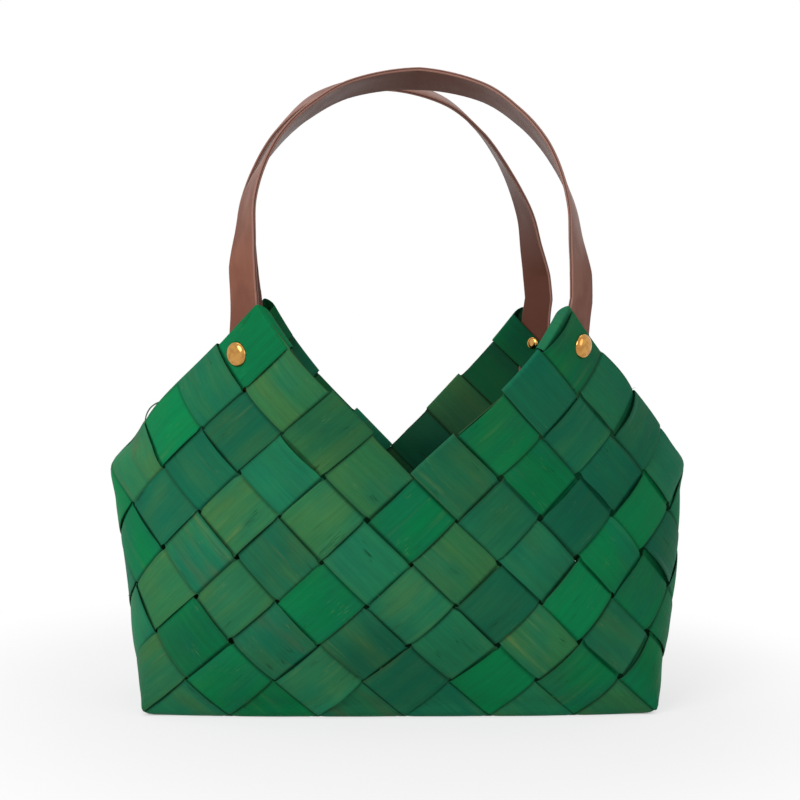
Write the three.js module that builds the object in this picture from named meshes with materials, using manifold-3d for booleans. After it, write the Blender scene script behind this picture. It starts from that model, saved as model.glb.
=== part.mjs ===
import * as THREE from 'three';
import { mergeVertices } from 'three/addons/utils/BufferGeometryUtils.js';
import Module from 'manifold-3d';

const wasm = await Module();
wasm.setup();

// Weave: squares stand on their corners, and sizes are counted in squares, corner to corner (mm)
const square = 50;
const sideSquares = 2;
const valleySquares = 3;
const peakSquares = 2;
const stripGap = 2.2;
const stripThickness = 0.8;
const clearance = 0.3;

// Shape of the bag (mm)
const baseBow = 8;
const sideBulge = 18;
const sideDraw = 35;
const riseRatio = 0.945;
const squareness = 9.3;
const bellyExponent = 1.58;
const softening = 23;
const foldRadius = 6;
const footEase = 2;
const footBlend = 16;
const sampleStep = 1.5;

// Handles (mm); each one's top hangs to one side by its sway, to the right seen from its own side
const strapWidth = 22;
const strapThickness = 2.5;
const tabStandoff = 0.7;
const tabBelowRivet = 26;
const hingeAbovePeak = 6;
const hingeOut = 15.5;
const handleHeight = 128;
const handleTopSpread = 13.2;
const frontSway = 2;
const backSway = 19;
const loopStations = 22;

// Rivets (mm): drop below the peak and shift away from the valley, for each peak in turn
const rivetDrops = [29, 21, 25, 25];
const rivetOuts = [9, 6, 8, 8];
const capRadius = 7;
const capRise = 2.8;
const capRim = 0.5;
const capSkin = 0.6;
const shankRadius = 2.2;
const boreRadius = 1.4;
const postRadius = 1.1;
const backRadius = 4;
const backRise = 1.2;
const backRim = 0.5;
const seatGap = 0.1;
const roundSegments = 16;

const frontSquares = 4 * peakSquares - sideSquares;
const halfFront = frontSquares * square / 2;
const halfSide = sideSquares * square / 2;
const perimeter = 4 * (halfFront + halfSide);
const valleyHeight = valleySquares * square;
const peakHeight = (valleySquares + peakSquares) * square;
const layerStep = (stripThickness + clearance) / 2;
const stripWidth = square / Math.SQRT2 - stripGap;
const floorLift = layerStep + stripThickness / 2;
const hs = frontSquares / 2;
const hd = sideSquares / 2;

const leather = new THREE.Color(0x7d503e);
const brass = new THREE.Color(0xc89650);
const brightDye = new THREE.Color(0x1a7444);
const midDye = new THREE.Color(0x286e48);
const oliveDye = new THREE.Color(0x3f6c3c);
const tealDye = new THREE.Color(0x1f6450);

// The dye of each strip, in the order of their numbers
const rightDyes = [brightDye, midDye, tealDye, brightDye, brightDye, brightDye, midDye, brightDye];
const leftDyes = [oliveDye, oliveDye, midDye, brightDye, midDye, tealDye, midDye, oliveDye];

const smooth = (v) => {
  const k = Math.min(1, Math.max(0, v));
  return k * k * (3 - 2 * k);
};

// One horizontal section of the bag: a superellipse of fixed girth, as an arc-length table of a quarter
const sections = new Map();
function quarterTable(a, b, n) {
  const pts = [];
  const steps = 140;
  let run = 0;
  for (let i = 0; i <= steps; i++) {
    const phi = (Math.PI / 2) * (i / steps);
    const across = Math.pow(Math.sin(phi) / a, n);
    const along = Math.pow(Math.max(0, Math.cos(phi)) / b, n);
    const r = Math.pow(across + along, -1 / n);
    const x = r * Math.sin(phi);
    const y = r * Math.cos(phi);
    if (i > 0) {
      run += Math.hypot(x - pts[i - 1].x, y - pts[i - 1].y);
    }
    pts.push({ x, y, run });
  }
  return pts;
}
function sectionTable(t) {
  const key = Math.round(t * 100);
  if (sections.has(key)) {
    return sections.get(key);
  }
  const swell = sideBulge * smooth(t / (0.93 * valleyHeight));
  const draw = sideDraw * smooth((t - valleyHeight) / (1.1 * (peakHeight - valleyHeight)));
  const a = halfFront + footEase + swell - draw;
  const n = bellyExponent + squareness * Math.exp(-t / softening);
  let low = 0.2 * halfSide;
  let high = halfFront + halfSide;
  let table = [];
  for (let i = 0; i < 34; i++) {
    const b = (low + high) / 2;
    table = quarterTable(a, b, n);
    if (table[table.length - 1].run < perimeter / 4) {
      low = b;
    } else {
      high = b;
    }
  }
  sections.set(key, table);
  return table;
}
function sectionPoint(t, s) {
  const table = sectionTable(t);
  const half = perimeter / 2;
  let arc = s - halfFront;
  arc -= perimeter * Math.round(arc / perimeter);
  const signX = arc < 0 ? -1 : 1;
  let run = Math.abs(arc);
  const back = run > half / 2;
  if (back) {
    run = half - run;
  }
  let lo = 0;
  let hi = table.length - 1;
  while (hi - lo > 1) {
    const mid = (lo + hi) >> 1;
    if (table[mid].run <= run) {
      lo = mid;
    } else {
      hi = mid;
    }
  }
  const k = (run - table[lo].run) / (table[hi].run - table[lo].run);
  const x = table[lo].x + k * (table[hi].x - table[lo].x);
  const y = table[lo].y + k * (table[hi].y - table[lo].y);
  return { x: signX * x, y: back ? y : -y };
}

// Outline of the bag's foot: a rectangle whose long sides bow outwards
function footprint(x, y) {
  const bow = halfSide + baseBow * (1 - Math.pow(Math.min(1, Math.abs(x) / halfFront), 4));
  return { x, y: y * bow / halfSide };
}
function footEdge(s) {
  const r = ((s % perimeter) + perimeter) % perimeter;
  const front = 2 * halfFront;
  const right = front + 2 * halfSide;
  const back = right + 2 * halfFront;
  if (r <= front) {
    return footprint(r - halfFront, -halfSide);
  }
  if (r <= right) {
    return footprint(halfFront, r - front - halfSide);
  }
  if (r <= back) {
    return footprint(halfFront - (r - right), halfSide);
  }
  return footprint(-halfFront, halfSide - (r - back));
}
function wallOutline(t, s) {
  const foot = footEdge(s);
  const full = sectionPoint(t, s);
  const k = smooth(t / footBlend);
  return { x: foot.x + k * (full.x - foot.x), y: foot.y + k * (full.y - foot.y) };
}
const foldOf = (distance) => {
  const q = Math.min(1, Math.max(0, (distance + foldRadius) / (2 * foldRadius)));
  return { inward: foldRadius * (1 - q) * (1 - q), up: foldRadius * q * q };
};
function wallPoint(s, t) {
  const rounded = t < foldRadius;
  const fold = rounded ? foldOf(t) : { inward: 0, up: t };
  const p = wallOutline(fold.up, s);
  if (rounded) {
    const before = wallOutline(fold.up, s - sampleStep);
    const after = wallOutline(fold.up, s + sampleStep);
    const length = Math.hypot(after.x - before.x, after.y - before.y);
    p.x -= fold.inward * (after.y - before.y) / length;
    p.y += fold.inward * (after.x - before.x) / length;
  }
  return new THREE.Vector3(p.x, p.y, floorLift + riseRatio * fold.up);
}
function basePoint(x, y) {
  const gapX = halfFront - Math.abs(x);
  const gapY = halfSide - Math.abs(y);
  const foldX = foldOf(-gapX);
  const foldY = foldOf(-gapY);
  const inX = gapX < foldRadius ? foldX.inward : gapX;
  const inY = gapY < foldRadius ? foldY.inward : gapY;
  const upX = gapX < foldRadius ? foldX.up : 0;
  const upY = gapY < foldRadius ? foldY.up : 0;
  const edge = footprint(Math.sign(x) * (halfFront - inX), y);
  const bow = Math.abs(edge.y) - Math.abs(y);
  const outY = halfSide - inY + bow;
  const z = floorLift + riseRatio * Math.max(upX, upY);
  return new THREE.Vector3(edge.x, Math.sign(y) * Math.max(0, outY), z);
}

// A point of the flat weaving pattern, taken to its place on the base or on the wall that the strip climbs
function wallSpot(x, y, ends) {
  if (ends.includes('front') && y < -halfSide) {
    return { s: x + halfFront, t: -halfSide - y };
  }
  if (ends.includes('right') && x > halfFront) {
    return { s: 2 * halfFront + halfSide + y, t: x - halfFront };
  }
  if (ends.includes('back') && y > halfSide) {
    return { s: 3 * halfFront + 2 * halfSide - x, t: y - halfSide };
  }
  if (ends.includes('left') && x < -halfFront) {
    return { s: 4 * halfFront + 3 * halfSide - y, t: -halfFront - x };
  }
  return null;
}
function placed(x, y, ends) {
  const spot = wallSpot(x, y, ends);
  return spot ? wallPoint(spot.s, spot.t) : basePoint(x, y);
}
function framed(x, y, ends) {
  const h = sampleStep;
  const p = placed(x, y, ends);
  const dx = placed(x + h, y, ends).sub(placed(x - h, y, ends));
  const dy = placed(x, y + h, ends).sub(placed(x, y - h, ends));
  return { p, n: dy.cross(dx).normalize() };
}
function wallFrame(s, t) {
  const h = sampleStep;
  const p = wallPoint(s, t);
  const along = wallPoint(s + h, t).sub(wallPoint(s - h, t)).normalize();
  const up = wallPoint(s, t + h).sub(wallPoint(s, t - h)).normalize();
  return { p, along, up, n: along.clone().cross(up).normalize() };
}

// Closed solid through a row of rings; a ring is three points of the outer face and three of the inner
const ringPoints = 6;
function solidOfRings(rings) {
  const position = [];
  const index = [];
  const quad = (a, b, c, d, cross) => {
    if (cross) {
      index.push(a, b, c, a, c, d);
    } else {
      index.push(a, b, d, b, c, d);
    }
  };
  for (const ring of rings) {
    for (const v of [...ring.outer, ...ring.inner]) {
      position.push(v.x, v.y, v.z);
    }
  }
  const bulges = (r, q, w) => {
    if (!r.bare) {
      return true;
    }
    const one = r.bare[w].clone().add(q.bare[w + 1]);
    const two = q.bare[w].clone().add(r.bare[w + 1]);
    return one.sub(two).dot(r.normal[w]) > 0;
  };
  for (let i = 0; i + 1 < rings.length; i++) {
    const r = i * ringPoints;
    const q = r + ringPoints;
    for (let w = 0; w < 2; w++) {
      const cross = bulges(rings[i], rings[i + 1], w);
      quad(r + w, q + w, q + w + 1, r + w + 1, cross);
      quad(r + 3 + w + 1, q + 3 + w + 1, q + 3 + w, r + 3 + w, !cross);
    }
    quad(r + 3, q + 3, q, r, true);
    quad(r + 2, q + 2, q + 5, r + 5, true);
  }
  const last = (rings.length - 1) * ringPoints;
  for (let w = 0; w < 2; w++) {
    quad(w, w + 1, w + 4, w + 3, true);
    quad(last + w + 3, last + w + 4, last + w + 1, last + w, true);
  }
  const geometry = new THREE.BufferGeometry();
  geometry.setAttribute('position', new THREE.Float32BufferAttribute(position, 3));
  geometry.setIndex(index);
  return facedOut(geometry);
}
function facedOut(geometry) {
  const p = geometry.attributes.position;
  const f = geometry.index.array;
  const a = new THREE.Vector3();
  const b = new THREE.Vector3();
  const c = new THREE.Vector3();
  let volume = 0;
  for (let i = 0; i < f.length; i += 3) {
    a.fromBufferAttribute(p, f[i]);
    b.fromBufferAttribute(p, f[i + 1]);
    c.fromBufferAttribute(p, f[i + 2]);
    volume += a.dot(b.cross(c));
  }
  if (volume < 0) {
    for (let i = 0; i < f.length; i += 3) {
      const keep = f[i + 1];
      f[i + 1] = f[i + 2];
      f[i + 2] = keep;
    }
  }
  return geometry;
}

// Where a strip's climb ends on the zigzag rim, in squares along the other diagonal
const risingEnd = (m) => hs + valleySquares
  + 2 * peakSquares * Math.floor((m - (hs - valleySquares - 2 * peakSquares)) / (2 * peakSquares));
const fallingEnd = (n) => hs - valleySquares
  + 2 * peakSquares * Math.floor((n - (hs + valleySquares)) / (2 * peakSquares));

// The two families of strips: a strip's walls, and the squares from one end to the other
function rightLeaning(i) {
  const high = i + 0.5 < hs - hd ? 'front' : 'right';
  const low = i + 0.5 > hd - hs ? 'back' : 'left';
  const climb = i + hs + hd;
  const far = 3 * hs + 3 * hd - 1 - i;
  const to = high === 'front'
    ? risingEnd(climb) - (hs - hd)
    : 3 * hs + hd - fallingEnd(climb);
  const from = low === 'back'
    ? 3 * hs + hd - risingEnd(far)
    : fallingEnd(far) - (5 * hs + 3 * hd);
  return { ends: [high, low], from, to, lane: i, over: (j) => Math.abs(i + j) % 2 === 1, swap: false };
}
function leftLeaning(j) {
  const low = j + 0.5 > hd - hs ? 'front' : 'left';
  const high = j + 0.5 < hs - hd ? 'back' : 'right';
  const from = low === 'front'
    ? fallingEnd(j + hs - hd) - (hs + hd)
    : 3 * hs + 3 * hd - risingEnd(j + 5 * hs + 3 * hd);
  const to = high === 'back'
    ? 3 * hs + 3 * hd - fallingEnd(3 * hs + hd - 1 - j)
    : risingEnd(3 * hs + hd - 1 - j) - (hs + hd);
  return { ends: [low, high], from, to, lane: j, over: (i) => Math.abs(i + j) % 2 === 0, swap: true };
}

// Layers at a peak, counted outwards from the middle of the weave: wall, strap tab, and a flap inside it
const clothOutside = layerStep + stripThickness / 2;
const flapLift = -3 * layerStep;
const tabOutside = flapLift - stripThickness / 2 - tabStandoff;
const tabInside = tabOutside - strapThickness;
const tipFlapLift = tabInside - tabStandoff - stripThickness / 2;
const stackInside = tipFlapLift - stripThickness / 2;

const peakPitch = 2 * peakSquares * square;
const peakPlace = (peak) => halfFront - peakSquares * square + peakPitch * peak;

// One veneer strip: over and under its neighbours, folded in over the rim where it ends outside
function stripGeometry(strip) {
  const perSquare = Math.SQRT2 / square;
  const halfGap = stripGap / 2 * perSquare;
  const reach = stripWidth / 2 * Math.SQRT2;
  const flatSpot = (c, w) => {
    const alongValue = c * square;
    const lane = (strip.lane + 0.5) * square + w * reach;
    const p = strip.swap ? alongValue : lane;
    const q = strip.swap ? lane : alongValue;
    return { x: (p + q) / 2, y: (p - q) / 2 };
  };
  const at = (c, w) => {
    const spot = flatSpot(c, w);
    return framed(spot.x, spot.y, strip.ends);
  };
  const ring = (outerC, outerLift, innerC, innerLift) => {
    const spread = [-1, 0, 1];
    const middle = spread.map((w) => at((outerC + innerC) / 2, w));
    const lifted = (c, lift) => spread.map((w) => {
      const f = at(c, w);
      return f.p.addScaledVector(f.n, lift);
    });
    return {
      outer: lifted(outerC, outerLift),
      inner: lifted(innerC, innerLift),
      bare: middle.map((f) => f.p),
      normal: middle.map((f) => f.n),
    };
  };
  const half = stripThickness / 2;
  const flat = (c, lift) => ring(c, lift + half, c, lift - half);
  const liftOf = (cell) => (strip.over(cell) ? layerStep : -layerStep);

  // How deep a strip's end is folded in; a strip that is only trimmed has no fold.
  // At the tip of a peak the strip that runs out towards the valley wraps the strap's tab.
  const foldDepth = (cell, way) => {
    const middle = flatSpot(cell + 0.5, 0);
    const beyond = flatSpot(cell + 0.5 + way / 4, 0);
    const here = wallSpot(middle.x, middle.y, strip.ends);
    const there = wallSpot(beyond.x, beyond.y, strip.ends);
    if (here.t > peakHeight - 0.75 * square) {
      const peak = Math.round((here.s - peakPlace(0)) / peakPitch);
      const towardsValley = (peak % 2 === 0) === (there.s > here.s);
      return towardsValley ? tipFlapLift : null;
    }
    return strip.over(cell) ? flapLift : null;
  };
  const foldRings = (cell, way) => {
    const to = foldDepth(cell, way);
    if (to === null) {
      return [];
    }
    const edge = way > 0 ? cell + 1 - halfGap : cell + halfGap;
    const far = way > 0 ? cell + halfGap : cell + 1 - halfGap;
    const middle = (liftOf(cell) + to) / 2;
    const radius = (liftOf(cell) - to) / 2;
    const start = edge + way * clearance * perSquare;
    const big = radius + half;
    const small = radius - half;
    const turned = [];
    for (const deg of [60, 20, -20, -60, -90]) {
      const phi = THREE.MathUtils.degToRad(deg);
      const go = way * Math.cos(phi) * perSquare;
      turned.push(ring(start + big * go, middle + big * Math.sin(phi),
        start + small * go, middle + small * Math.sin(phi)));
    }
    for (const c of [edge, (edge + far) / 2, far]) {
      turned.push(ring(c, middle - big, c, middle - small));
    }
    return turned;
  };
  const rings = [];
  for (let c = strip.from; c < strip.to; c++) {
    for (const k of [c + halfGap, c + 0.5, c + 1 - halfGap]) {
      rings.push(flat(k, liftOf(c)));
    }
  }
  rings.push(...foldRings(strip.to - 1, 1));
  rings.unshift(...foldRings(strip.from, -1).reverse());
  return solidOfRings(rings);
}

// The strap's tab runs through its rivet and leaves the peak on the side away from the valley
const tabTop = peakHeight + hingeAbovePeak;
const awayFromValley = (peak) => (peak % 2 === 0 ? -1 : 1);
const rivetPlace = (peak) => peakPlace(peak) + awayFromValley(peak) * rivetOuts[peak];
const rivetHeight = (peak) => peakHeight - rivetDrops[peak];
const strapPlace = (peak, t) => {
  const slant = (hingeOut - rivetOuts[peak]) / (tabTop - rivetHeight(peak));
  return rivetPlace(peak) + awayFromValley(peak) * slant * (t - rivetHeight(peak));
};

// A flat strap section: three points on each face
function strapRing(p, across, face) {
  const corner = (w, f) => p.clone()
    .addScaledVector(across, w * strapWidth / 2)
    .addScaledVector(face, f * strapThickness / 2);
  return {
    outer: [corner(-1, 1), corner(0, 1), corner(1, 1)],
    inner: [corner(-1, -1), corner(0, -1), corner(1, -1)],
  };
}
function hingeFrame(peak) {
  const frame = wallFrame(strapPlace(peak, tabTop), tabTop);
  const p = frame.p.clone().addScaledVector(frame.n, (tabOutside + tabInside) / 2);
  return { p, along: frame.along, n: frame.n, up: frame.n.clone().cross(frame.along) };
}

function tabGeometry(peak) {
  const rings = [];
  const steps = 5;
  const low = rivetHeight(peak) - tabBelowRivet;
  for (let i = 0; i < steps; i++) {
    const t = low + (tabTop - low) * i / steps;
    const s = strapPlace(peak, t);
    const spread = [-1, 0, 1].map((w) => wallFrame(s + w * strapWidth / 2, t));
    rings.push({
      outer: spread.map((f) => f.p.clone().addScaledVector(f.n, tabOutside)),
      inner: spread.map((f) => f.p.clone().addScaledVector(f.n, tabInside)),
    });
  }
  const top = hingeFrame(peak);
  rings.push(strapRing(top.p, top.along, top.n));
  return solidOfRings(rings);
}

// Turn of the strap about its own length, in degrees at shares of the way from foot to top
const strapTwist = [
  { share: 0.12, turn: 41 },
  { share: 0.26, turn: 27 },
  { share: 0.42, turn: 15 },
  { share: 0.6, turn: 0 },
  { share: 0.8, turn: -10 },
  { share: 1, turn: -25 },
];
function twistAt(share, startTurn) {
  let before = { share: 0, turn: startTurn };
  for (const knot of strapTwist) {
    if (share <= knot.share) {
      const k = (share - before.share) / (knot.share - before.share);
      return THREE.MathUtils.degToRad(before.turn + k * (knot.turn - before.turn));
    }
    before = knot;
  }
  return THREE.MathUtils.degToRad(before.turn);
}

// The handle's arch, drawn for the front handle from the left end to the top; the right half mirrors it
function loopGeometry(sway) {
  const start = hingeFrame(0);
  const foot = start.p.clone().addScaledVector(start.up, clearance);
  const span = Math.abs(foot.x);
  const depth = -foot.y - handleTopSpread;
  const bend = (outK, inK, upK) => new THREE.Vector3(
    -span * outK, -handleTopSpread - depth * inK, foot.z + handleHeight * upK);
  const path = new THREE.CatmullRomCurve3([
    foot,
    bend(1, 1.01, 0.12),
    bend(0.98, 0.98, 0.26),
    bend(0.96, 0.93, 0.4),
    bend(0.9, 0.85, 0.54),
    bend(0.8, 0.69, 0.68),
    bend(0.64, 0.41, 0.82),
    bend(0.405, 0.15, 0.94),
    bend(0, 0, 1),
    bend(-0.405, 0.15, 0.94),
  ], false, 'centripetal');
  const lastU = 8 / 9;
  const frontwards = new THREE.Vector3(0, -1, 0);
  const sides = (tangent) => {
    const one = frontwards.clone().addScaledVector(tangent, -frontwards.dot(tangent)).normalize();
    return { one, two: tangent.clone().cross(one) };
  };
  const base = sides(start.up);
  const startAngle = Math.atan2(start.along.dot(base.two), start.along.dot(base.one));
  const startTurn = THREE.MathUtils.radToDeg(startAngle);
  const half = [];
  for (let i = 0; i <= loopStations; i++) {
    const share = i / loopStations;
    const p = path.getPoint(lastU * share);
    const tangent = i === 0 ? start.up.clone() : path.getTangent(lastU * share);
    if (i === loopStations) {
      tangent.set(1, 0, 0);
    }
    const side = sides(tangent);
    const turn = twistAt(share, startTurn);
    const across = side.one.multiplyScalar(Math.cos(turn)).addScaledVector(side.two, Math.sin(turn));
    const face = across.clone().cross(tangent).normalize();
    half.push({ p, across, face });
  }
  const flipped = (v) => new THREE.Vector3(-v.x, v.y, v.z);
  const mirrored = half.slice(0, -1).reverse().map((r) => (
    { p: flipped(r.p), across: flipped(r.across), face: flipped(r.face) }));
  return solidOfRings([...half, ...mirrored].map((r) => {
    const swayed = r.p.clone();
    swayed.x += sway * (r.p.z - foot.z) / handleHeight;
    return strapRing(swayed, r.across, r.face);
  }));
}

// Rivets: a domed cap with a hollow shank outside, a disc with a pin inside
function turned(points, frame) {
  const profile = points.map(([r, h]) => new THREE.Vector2(r, h));
  const geometry = new THREE.LatheGeometry(profile, roundSegments);
  const turn = new THREE.Quaternion().setFromUnitVectors(new THREE.Vector3(0, 1, 0), frame.n);
  geometry.applyQuaternion(turn);
  geometry.translate(frame.p.x, frame.p.y, frame.p.z);
  return geometry;
}
function rivetCap(frame) {
  const seat = clothOutside + clearance;
  const end = stackInside - seatGap;
  return turned([
    [0, seat + capSkin],
    [boreRadius, seat + capSkin],
    [boreRadius, end],
    [shankRadius, end],
    [shankRadius, seat],
    [capRadius * 0.96, seat],
    [capRadius, seat + capRim],
    [capRadius * 0.86, seat + capRise * 0.56],
    [capRadius * 0.52, seat + capRise * 0.9],
    [0, seat + capRise],
  ], frame);
}
function rivetPost(frame) {
  const seat = clothOutside + clearance;
  const back = stackInside - seatGap - clearance;
  const tip = seat + capSkin - clearance;
  return turned([
    [0, back - backRise],
    [backRadius * 0.8, back - backRise + seatGap],
    [backRadius, back - backRim],
    [backRadius, back],
    [postRadius, back],
    [postRadius, tip],
    [0, tip],
  ], frame);
}
function rivetHole(frame) {
  const deep = stackInside - strapThickness;
  const high = clothOutside + strapThickness;
  return turned([
    [0, deep],
    [shankRadius + clearance, deep],
    [shankRadius + clearance, high],
    [0, high],
  ], frame);
}

// Cutting, with every solid welded first
function solidFrom(geometry) {
  const bare = geometry.clone();
  bare.deleteAttribute('normal');
  bare.deleteAttribute('uv');
  const merged = mergeVertices(bare, 1e-4);
  return new wasm.Manifold(new wasm.Mesh({
    numProp: 3,
    vertProperties: new Float32Array(merged.attributes.position.array),
    triVerts: new Uint32Array(merged.index.array),
  }));
}
function geometryFrom(solid) {
  const mesh = solid.getMesh();
  const geometry = new THREE.BufferGeometry();
  geometry.setAttribute('position', new THREE.Float32BufferAttribute(mesh.vertProperties, 3));
  geometry.setIndex([...mesh.triVerts]);
  return geometry;
}
function drilled(geometry, holes) {
  let solid = solidFrom(geometry);
  let cut = false;
  for (const hole of holes) {
    if (solid.intersect(hole).volume() > 0.5) {
      solid = solid.subtract(hole);
      cut = true;
    }
  }
  return cut ? geometryFrom(solid) : geometry;
}

const group = new THREE.Group();
group.name = 'woodchip_bag';
function add(name, geometry, color, roughness, metalness) {
  const finished = geometry.index ? geometry.toNonIndexed() : geometry;
  finished.computeVertexNormals();
  const material = new THREE.MeshStandardMaterial({ color, roughness, metalness });
  const mesh = new THREE.Mesh(finished, material);
  mesh.name = name;
  group.add(mesh);
}

const peaks = [0, 1, 2, 3];
const peakNames = ['front_left', 'front_right', 'back_right', 'back_left'];
const rivetFrames = peaks.map((peak) => wallFrame(rivetPlace(peak), rivetHeight(peak)));
const holes = rivetFrames.map((frame) => solidFrom(facedOut(mergeVertices(rivetHole(frame), 1e-4))));

const lanes = hs + hd;
for (let i = -lanes; i < lanes; i++) {
  const order = i + lanes;
  const number = order + 1;
  const rightDye = rightDyes[order % rightDyes.length];
  const leftDye = leftDyes[order % leftDyes.length];
  add(`right_strip_${number}`, drilled(stripGeometry(rightLeaning(i)), holes), rightDye, 0.5, 0);
  add(`left_strip_${number}`, drilled(stripGeometry(leftLeaning(i)), holes), leftDye, 0.5, 0);
}
for (const peak of peaks) {
  const side = peakNames[peak].startsWith('front') ? 'front' : 'back';
  const hand = peakNames[peak].endsWith('left') ? 'left' : 'right';
  add(`${side}_handle_${hand}_tab`, drilled(tabGeometry(peak), holes), leather, 0.55, 0);
  add(`${side}_${hand}_rivet_cap`, rivetCap(rivetFrames[peak]), brass, 0.3, 0.9);
  add(`${side}_${hand}_rivet_post`, rivetPost(rivetFrames[peak]), brass, 0.35, 0.9);
}
add('front_handle_loop', loopGeometry(frontSway), leather, 0.55, 0);
add('back_handle_loop', loopGeometry(backSway).rotateZ(Math.PI), leather, 0.55, 0);

export default group;
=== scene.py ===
import math
import bpy
import numpy as np
from mathutils import Matrix, Vector


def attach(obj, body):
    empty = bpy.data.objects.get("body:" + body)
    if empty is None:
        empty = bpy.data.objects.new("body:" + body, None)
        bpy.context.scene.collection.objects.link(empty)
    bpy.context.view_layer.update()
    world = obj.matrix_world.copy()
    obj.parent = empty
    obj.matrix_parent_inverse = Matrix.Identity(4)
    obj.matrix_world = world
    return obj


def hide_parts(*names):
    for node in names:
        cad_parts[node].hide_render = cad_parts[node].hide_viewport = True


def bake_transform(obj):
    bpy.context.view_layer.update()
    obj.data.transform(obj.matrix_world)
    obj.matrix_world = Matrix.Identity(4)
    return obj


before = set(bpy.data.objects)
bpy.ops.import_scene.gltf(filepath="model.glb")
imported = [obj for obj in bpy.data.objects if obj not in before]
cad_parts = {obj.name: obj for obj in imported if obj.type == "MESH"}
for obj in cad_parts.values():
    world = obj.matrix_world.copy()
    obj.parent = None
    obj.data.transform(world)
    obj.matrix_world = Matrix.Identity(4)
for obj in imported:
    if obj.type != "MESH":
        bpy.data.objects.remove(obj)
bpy.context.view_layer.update()  # let the imported model's parts settle in world space
mm = 0.001
print("frame loaded")

# The bag's skin: one smooth surface that both families of strips follow
# Sizes are in mm, and heights run along the wall
bag = {
    "square": 50.0,  # a woven square, corner to corner
    "frontSquares": 6,
    "sideSquares": 2,
    "valleySquares": 3,
    "peakSquares": 2,
    "baseBow": 8.0,
    "footEase": 2.0,
    "footBlend": 16.0,
    "sideBulge": 18.0,
    "sideDraw": 35.0,
    "riseRatio": 0.945,
    "squareness": 9.3,
    "bellyExponent": 1.58,
    "softening": 23.0,
    "foldRadius": 6.0,
    "floorLift": 0.95,
    "bowPower": 4,
    "swellTop": 0.93,  # share of the valley's height at which the bulge is full
    "drawTop": 1.1,  # the same for the draw, from valley to peak
    "spareHeight": 16.0,  # of the tables, above the peaks
    "leastDepth": 0.2,
    "turnSteps": 281,
    "arcSteps": 401,
    "halvings": 40,
    "outlineStep": 2.0,
    "sampleStep": 1.5,
    "softSpots": (  # round the wall, reach, up the wall, reach below and above, then mm along x
        (345.0, 62.0, 45.0, 45.0, 120.0, 8.5),  # the right end hangs out
        (750.0, 62.0, 40.0, 40.0, 50.0, -2.3),
        (755.0, 62.0, 163.0, 14.0, 36.0, 6.0),  # above the side rims the slopes are drawn in
        (345.0, 62.0, 163.0, 14.0, 36.0, -2.0),
        (350.0, 32.0, 150.0, 18.0, 18.0, 3.5),  # the side rims stand out as lips
        (750.0, 32.0, 144.0, 20.0, 10.0, -3.0),
    ),
}
square = bag["square"]
halfFront = bag["frontSquares"] * square / 2
halfSide = bag["sideSquares"] * square / 2
girth = 4 * (halfFront + halfSide)
valleyHeight = bag["valleySquares"] * square
peakHeight = valleyHeight + bag["peakSquares"] * square
stripPitch = square / math.sqrt(2)
hs = bag["frontSquares"] // 2
hd = bag["sideSquares"] // 2


def smooth(v):
    k = np.clip(v, 0.0, 1.0)
    return k * k * (3 - 2 * k)


def quarterOutline(a, b, n, phi):  # quarter superellipses, with their running lengths
    acrossTerm = (np.sin(phi)[None, :] / a[:, None]) ** n[:, None]
    alongTerm = (np.clip(np.cos(phi), 0, 1)[None, :] / b[:, None]) ** n[:, None]
    r = (acrossTerm + alongTerm) ** (-1 / n[:, None])
    x = r * np.sin(phi)
    y = r * np.cos(phi)
    steps = np.hypot(np.diff(x, axis=1), np.diff(y, axis=1))
    run = np.concatenate([np.zeros((len(a), 1)), np.cumsum(steps, axis=1)], axis=1)
    return x, y, run


def sectionTables():  # every section has the same girth, so its depth is found by halving
    heights = np.arange(0.0, peakHeight + bag["spareHeight"], 1.0)
    swell = bag["sideBulge"] * smooth(heights / (bag["swellTop"] * valleyHeight))
    drawLength = bag["drawTop"] * (peakHeight - valleyHeight)
    draw = bag["sideDraw"] * smooth((heights - valleyHeight) / drawLength)
    a = halfFront + bag["footEase"] + swell - draw
    n = bag["bellyExponent"] + bag["squareness"] * np.exp(-heights / bag["softening"])
    phi = np.linspace(0, math.pi / 2, bag["turnSteps"])
    low = np.full(len(heights), bag["leastDepth"] * halfSide)
    high = np.full(len(heights), halfFront + halfSide)
    for halving in range(bag["halvings"]):
        b = (low + high) / 2
        x, y, run = quarterOutline(a, b, n, phi)
        short = run[:, -1] < girth / 4
        low = np.where(short, b, low)
        high = np.where(short, high, b)
    arcs = np.linspace(0, girth / 4, bag["arcSteps"])
    tableX = np.array([np.interp(arcs, run[i], x[i]) for i in range(len(heights))])
    tableY = np.array([np.interp(arcs, run[i], y[i]) for i in range(len(heights))])
    return tableX, tableY


sectionX, sectionY = sectionTables()


def sectionPoint(t, s):
    arc = s - halfFront
    arc = arc - girth * np.round(arc / girth)
    run = np.abs(arc)
    behind = run > girth / 4
    run = np.where(behind, girth / 2 - run, run)
    row = np.clip(t, 0, sectionX.shape[0] - 1.001)
    column = np.clip(run / (girth / 4) * (sectionX.shape[1] - 1), 0, sectionX.shape[1] - 1.001)
    i = row.astype(int)
    j = column.astype(int)
    fi = row - i
    fj = column - j

    def read(table):
        below = table[i, j] * (1 - fj) + table[i, j + 1] * fj
        above = table[i + 1, j] * (1 - fj) + table[i + 1, j + 1] * fj
        return below * (1 - fi) + above * fi

    x = np.where(arc < 0, -1.0, 1.0) * read(sectionX)
    y = np.where(behind, 1.0, -1.0) * read(sectionY)
    return x, y


def footprint(x, y):  # the foot is a rectangle whose long sides bow out
    share = np.minimum(1, np.abs(x) / halfFront)
    bow = halfSide + bag["baseBow"] * (1 - share ** bag["bowPower"])
    return x, y * bow / halfSide


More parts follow.
